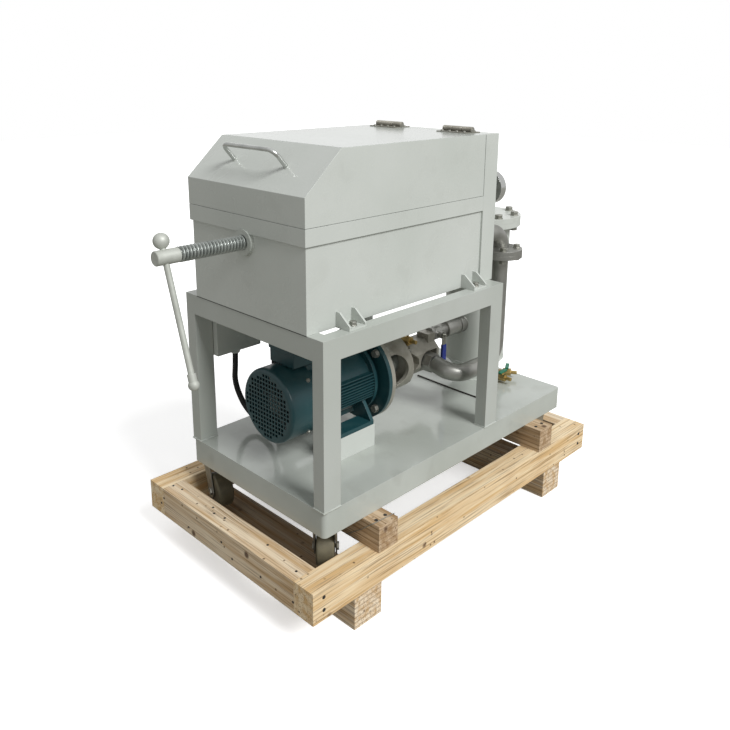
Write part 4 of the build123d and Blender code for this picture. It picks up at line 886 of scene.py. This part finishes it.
barrel = shell("barrel", *turned(lantern_profile, (0, 0, MOTOR_AXIS), AFT, 96), iron)
window_profile = [
    (0.0, -WINDOW_REACH),
    (WINDOW_RADIUS, -WINDOW_REACH),
    (WINDOW_RADIUS, WINDOW_REACH),
    (0.0, WINDOW_REACH),
]
window = shell("window", *turned(window_profile, (0, WINDOW_Y, MOTOR_AXIS), RIGHT, 64), iron)
barrel = cut(barrel, window)
barrel.shade_smooth()
barrel.set_sharp_from_angle(angle=SMOOTH_ANGLE)
barrel = piece("lantern_barrel", barrel, "root")
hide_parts("lantern")

# Pump flange on the lantern's rear face
PUMP_FLANGE_RADIUS, PUMP_FLANGE_BORE, PUMP_AXIS = 0.083, 0.030, 0.518
pump_sheet = PUMP_FACE - LANTERN_END
flange_profile = [
    (PUMP_FLANGE_BORE, 0.0),
    (PUMP_FLANGE_RADIUS - EASE, 0.0),
    (PUMP_FLANGE_RADIUS, EASE),
    (PUMP_FLANGE_RADIUS, pump_sheet - EASE),
    (PUMP_FLANGE_RADIUS - EASE, pump_sheet),
    (PUMP_FLANGE_BORE, pump_sheet),
    (PUMP_FLANGE_BORE, 0.0),
]
flange = turned(flange_profile, (0, LANTERN_END, PUMP_AXIS), AFT, 96)
piece("pump_flange", shell("pump_flange", *flange, iron), "root")
pump_spots = ring((0, 0, PUMP_AXIS), AFT, 0.073, 4, EIGHTH)
fasteners("pump_flange_bolts", [((spot.x, PUMP_FACE, spot.z), AFT) for spot in pump_spots], 0.015, 0.009)

# Iron wire that ties the front block to the base
TIE = [
    (0.346, 0.1165, 0.190),
    (0.346, 0.1165, 0.2738),
    (0.340, 0.0375, 0.2738),
    (0.300, 0.0340, 0.2400),
    (0.240, 0.0360, 0.1960),
]
piece("tie_wire", shell("tie_wire", *wire(TIE, 0.0012), bolt_steel), "root")

# Ribbed sleeves over the hinge barrels: the middle knuckle's on the lid, the outer two on the housing
KNUCKLE, KNUCKLE_GAP = 0.0373, 0.0009
RIB_PITCH, SLEEVE_BORE, RIB_ROOT, RIB_OUTER = 0.0034, 0.0081, 0.0087, 0.0100


def ribbed_sleeves(shares):
    """Short open sleeves with ribs, one for each share of the knuckle length, on both hinges."""
    sleeves = []
    for side in (-1, 1):
        for share in shares:
            middle = side * HINGE_X + share * KNUCKLE
            half = KNUCKLE / 2 - KNUCKLE_GAP
            count = int(2 * half / RIB_PITCH)
            pitch = 2 * half / count
            profile = [(SLEEVE_BORE, -half)]
            for rib in range(count):
                low = -half + rib * pitch
                profile.append((RIB_ROOT, low))
                profile += [(RIB_OUTER, low + share_of_pitch * pitch) for share_of_pitch in (0.3, 0.7)]
            profile += [(RIB_ROOT, half), (SLEEVE_BORE, half), (SLEEVE_BORE, -half)]
            sleeves.append(turned(profile, (middle, HINGE_Y, HINGE_AXIS_Z), RIGHT, 28))
    return join(*sleeves)


for name, body, shares in (("lid_hinge_ribs", "lid", (0,)), ("housing_hinge_ribs", "root", (-1, 1))):
    piece(name, shell(name, *ribbed_sleeves(shares), iron), body)

# Thin tube that lies across the deck in front of the tank
TUBE = [(-0.130, 0.768, 0.3500), (-0.040, 0.766, 0.3500), (0.060, 0.764, 0.3500), (0.150, 0.765, 0.3500)]
piece("drain_tube", shell("drain_tube", *wire(TUBE, 0.0026), wire_steel), "root")

# Motor cable: limp rubber sheath from the switch box in a loose loop up to the terminal box
CABLE = [
    (-0.270, 0.044, 0.599),
    (-0.272, 0.044, 0.551),
    (-0.293, 0.054, 0.500),
    (-0.290, 0.064, 0.450),
    (-0.264, 0.072, 0.404),
    (-0.216, 0.078, 0.376),
    (-0.165, 0.083, 0.384),
    (-0.133, 0.086, 0.424),
    (-0.125, 0.086, 0.480),
    (-0.124, 0.084, 0.540),
    (-0.118, 0.078, 0.597),
    (-0.107, 0.069, 0.640),
    (-0.091, 0.064, 0.664),
    (-0.068, 0.063, 0.668),
]
CABLE_DIAMETER = 0.018
line = bpy.data.curves.new("cable_line", "CURVE")
line.dimensions = "3D"
spline = line.splines.new("NURBS")
spline.points.add(len(CABLE) - 1)
for control, spot in zip(spline.points, CABLE):
    control.co = (*spot, 1.0)
spline.order_u = 3
spline.use_endpoint_u = True
spline.resolution_u = 8
line.bevel_depth = CABLE_DIAMETER / 2
line.bevel_resolution = 5
line.use_fill_caps = True
line.materials.append(sheath)
cable = bpy.data.objects.new("cable_sheath", line)
scene.collection.objects.link(cable)
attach(cable, "root")
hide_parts("motor_cable")

# Floor, a hair below the skid
FLOOR_HALF, FLOOR_DROP, FLOOR_GLOW = 14.0, 0.0005, 0.50
floor_mesh = bpy.data.meshes.new("floor")
floor_corners = [(x * FLOOR_HALF, y * FLOOR_HALF, -FLOOR_DROP) for x, y in SQUARE]
floor_mesh.from_pydata(floor_corners, [], [(0, 1, 2, 3)])
floor = bpy.data.objects.new("floor", floor_mesh)
scene.collection.objects.link(floor)


def studio_floor():
    """White paper to the camera, with the object's soft shadow on it, and a mid grey for bounced light."""
    material, tree, shader, where = finish_base("white_paper_floor", 0.9)
    shader.inputs["Base Color"].default_value = linear("#FFFFFF")
    shader.inputs["Specular IOR Level"].default_value = 0.0
    bounce = add(tree, "ShaderNodeBsdfDiffuse", {"Color": linear("#A3A29C")})
    glow = add(tree, "ShaderNodeEmission", {"Strength": FLOOR_GLOW})
    paper = add(tree, "ShaderNodeAddShader", {0: shader.outputs[0], 1: glow.outputs[0]})
    path = add(tree, "ShaderNodeLightPath")
    seen = add(
        tree,
        "ShaderNodeMixShader",
        {0: path.outputs["Is Camera Ray"], 1: bounce.outputs[0], 2: paper.outputs[0]},
    )
    tree.links.new(seen.outputs[0], tree.nodes["Material Output"].inputs["Surface"])
    return material


floor_mesh.materials.append(studio_floor())

# Grey hall for diffuse light, a paler one in reflections and pure white behind the object
AMBIENT = 0.32
REFLECTED = 0.62
world = bpy.data.worlds.new("studio")
world.use_nodes = True
scene.world = world
world_tree = world.node_tree
backdrop = world_tree.nodes["Background"]
path = add(world_tree, "ShaderNodeLightPath")
reflected = add(
    world_tree,
    "ShaderNodeMath",
    {0: path.outputs["Is Glossy Ray"], 1: REFLECTED - AMBIENT},
    operation="MULTIPLY",
)
seen_directly = add(
    world_tree,
    "ShaderNodeMath",
    {0: path.outputs["Is Camera Ray"], 1: 1.0 - AMBIENT},
    operation="MULTIPLY",
)
extra = add(
    world_tree, "ShaderNodeMath", {0: reflected.outputs[0], 1: seen_directly.outputs[0]}, operation="ADD"
)
level = add(world_tree, "ShaderNodeMath", {0: extra.outputs[0], 1: AMBIENT}, operation="ADD")
world_tree.links.new(level.outputs[0], backdrop.inputs["Strength"])
backdrop.inputs["Color"].default_value = (1, 1, 1, 1)


def sun(name, towards, level, spread):
    """A distant soft lamp; level 1 lights a facing surface to its own colour."""
    data = bpy.data.lights.new(name, "SUN")
    data.energy = math.pi * level
    data.angle = math.radians(spread)
    lamp = bpy.data.objects.new(name, data)
    lamp.rotation_euler = Vector(towards).to_track_quat("Z", "Y").to_euler()
    scene.collection.objects.link(lamp)


sun("key_from_the_right", (0.63, 0.0, 0.58), 0.865, 24)
sun("soft_from_above_front", (-0.05, -0.30, 0.94), 0.09, 70)
sun("fill_from_behind_left", (-0.75, 0.55, 0.35), 0.10, 60)

# Camera as fitted to the picture, whose side is PICTURE pixels
PICTURE = 730
VIEW_FROM = Vector((1.590, -1.2784, 1.4679))
AZIMUTH, ELEVATION, ROLL = (math.radians(a) for a in (44.6, 14.9, 0.4))
FOCAL = 762.6
CENTRE = (361.9, 269.5)
lens = bpy.data.cameras.new("camera")
lens.sensor_width = 36.0
lens.lens = FOCAL / PICTURE * lens.sensor_width
lens.shift_x = (PICTURE / 2 - CENTRE[0]) / PICTURE
lens.shift_y = -(PICTURE / 2 - CENTRE[1]) / PICTURE
camera = bpy.data.objects.new("camera", lens)
towards_camera = Vector(
    (
        math.sin(AZIMUTH) * math.cos(ELEVATION),
        -math.cos(AZIMUTH) * math.cos(ELEVATION),
        math.sin(ELEVATION),
    )
)
camera.rotation_mode = "QUATERNION"
camera.rotation_quaternion = (-towards_camera).to_track_quat("-Z", "Y") @ Matrix.Rotation(
    ROLL, 3, "Z"
).to_quaternion()
camera.location = VIEW_FROM
scene.collection.objects.link(camera)
scene.camera = camera
scene.view_settings.view_transform = "Standard"
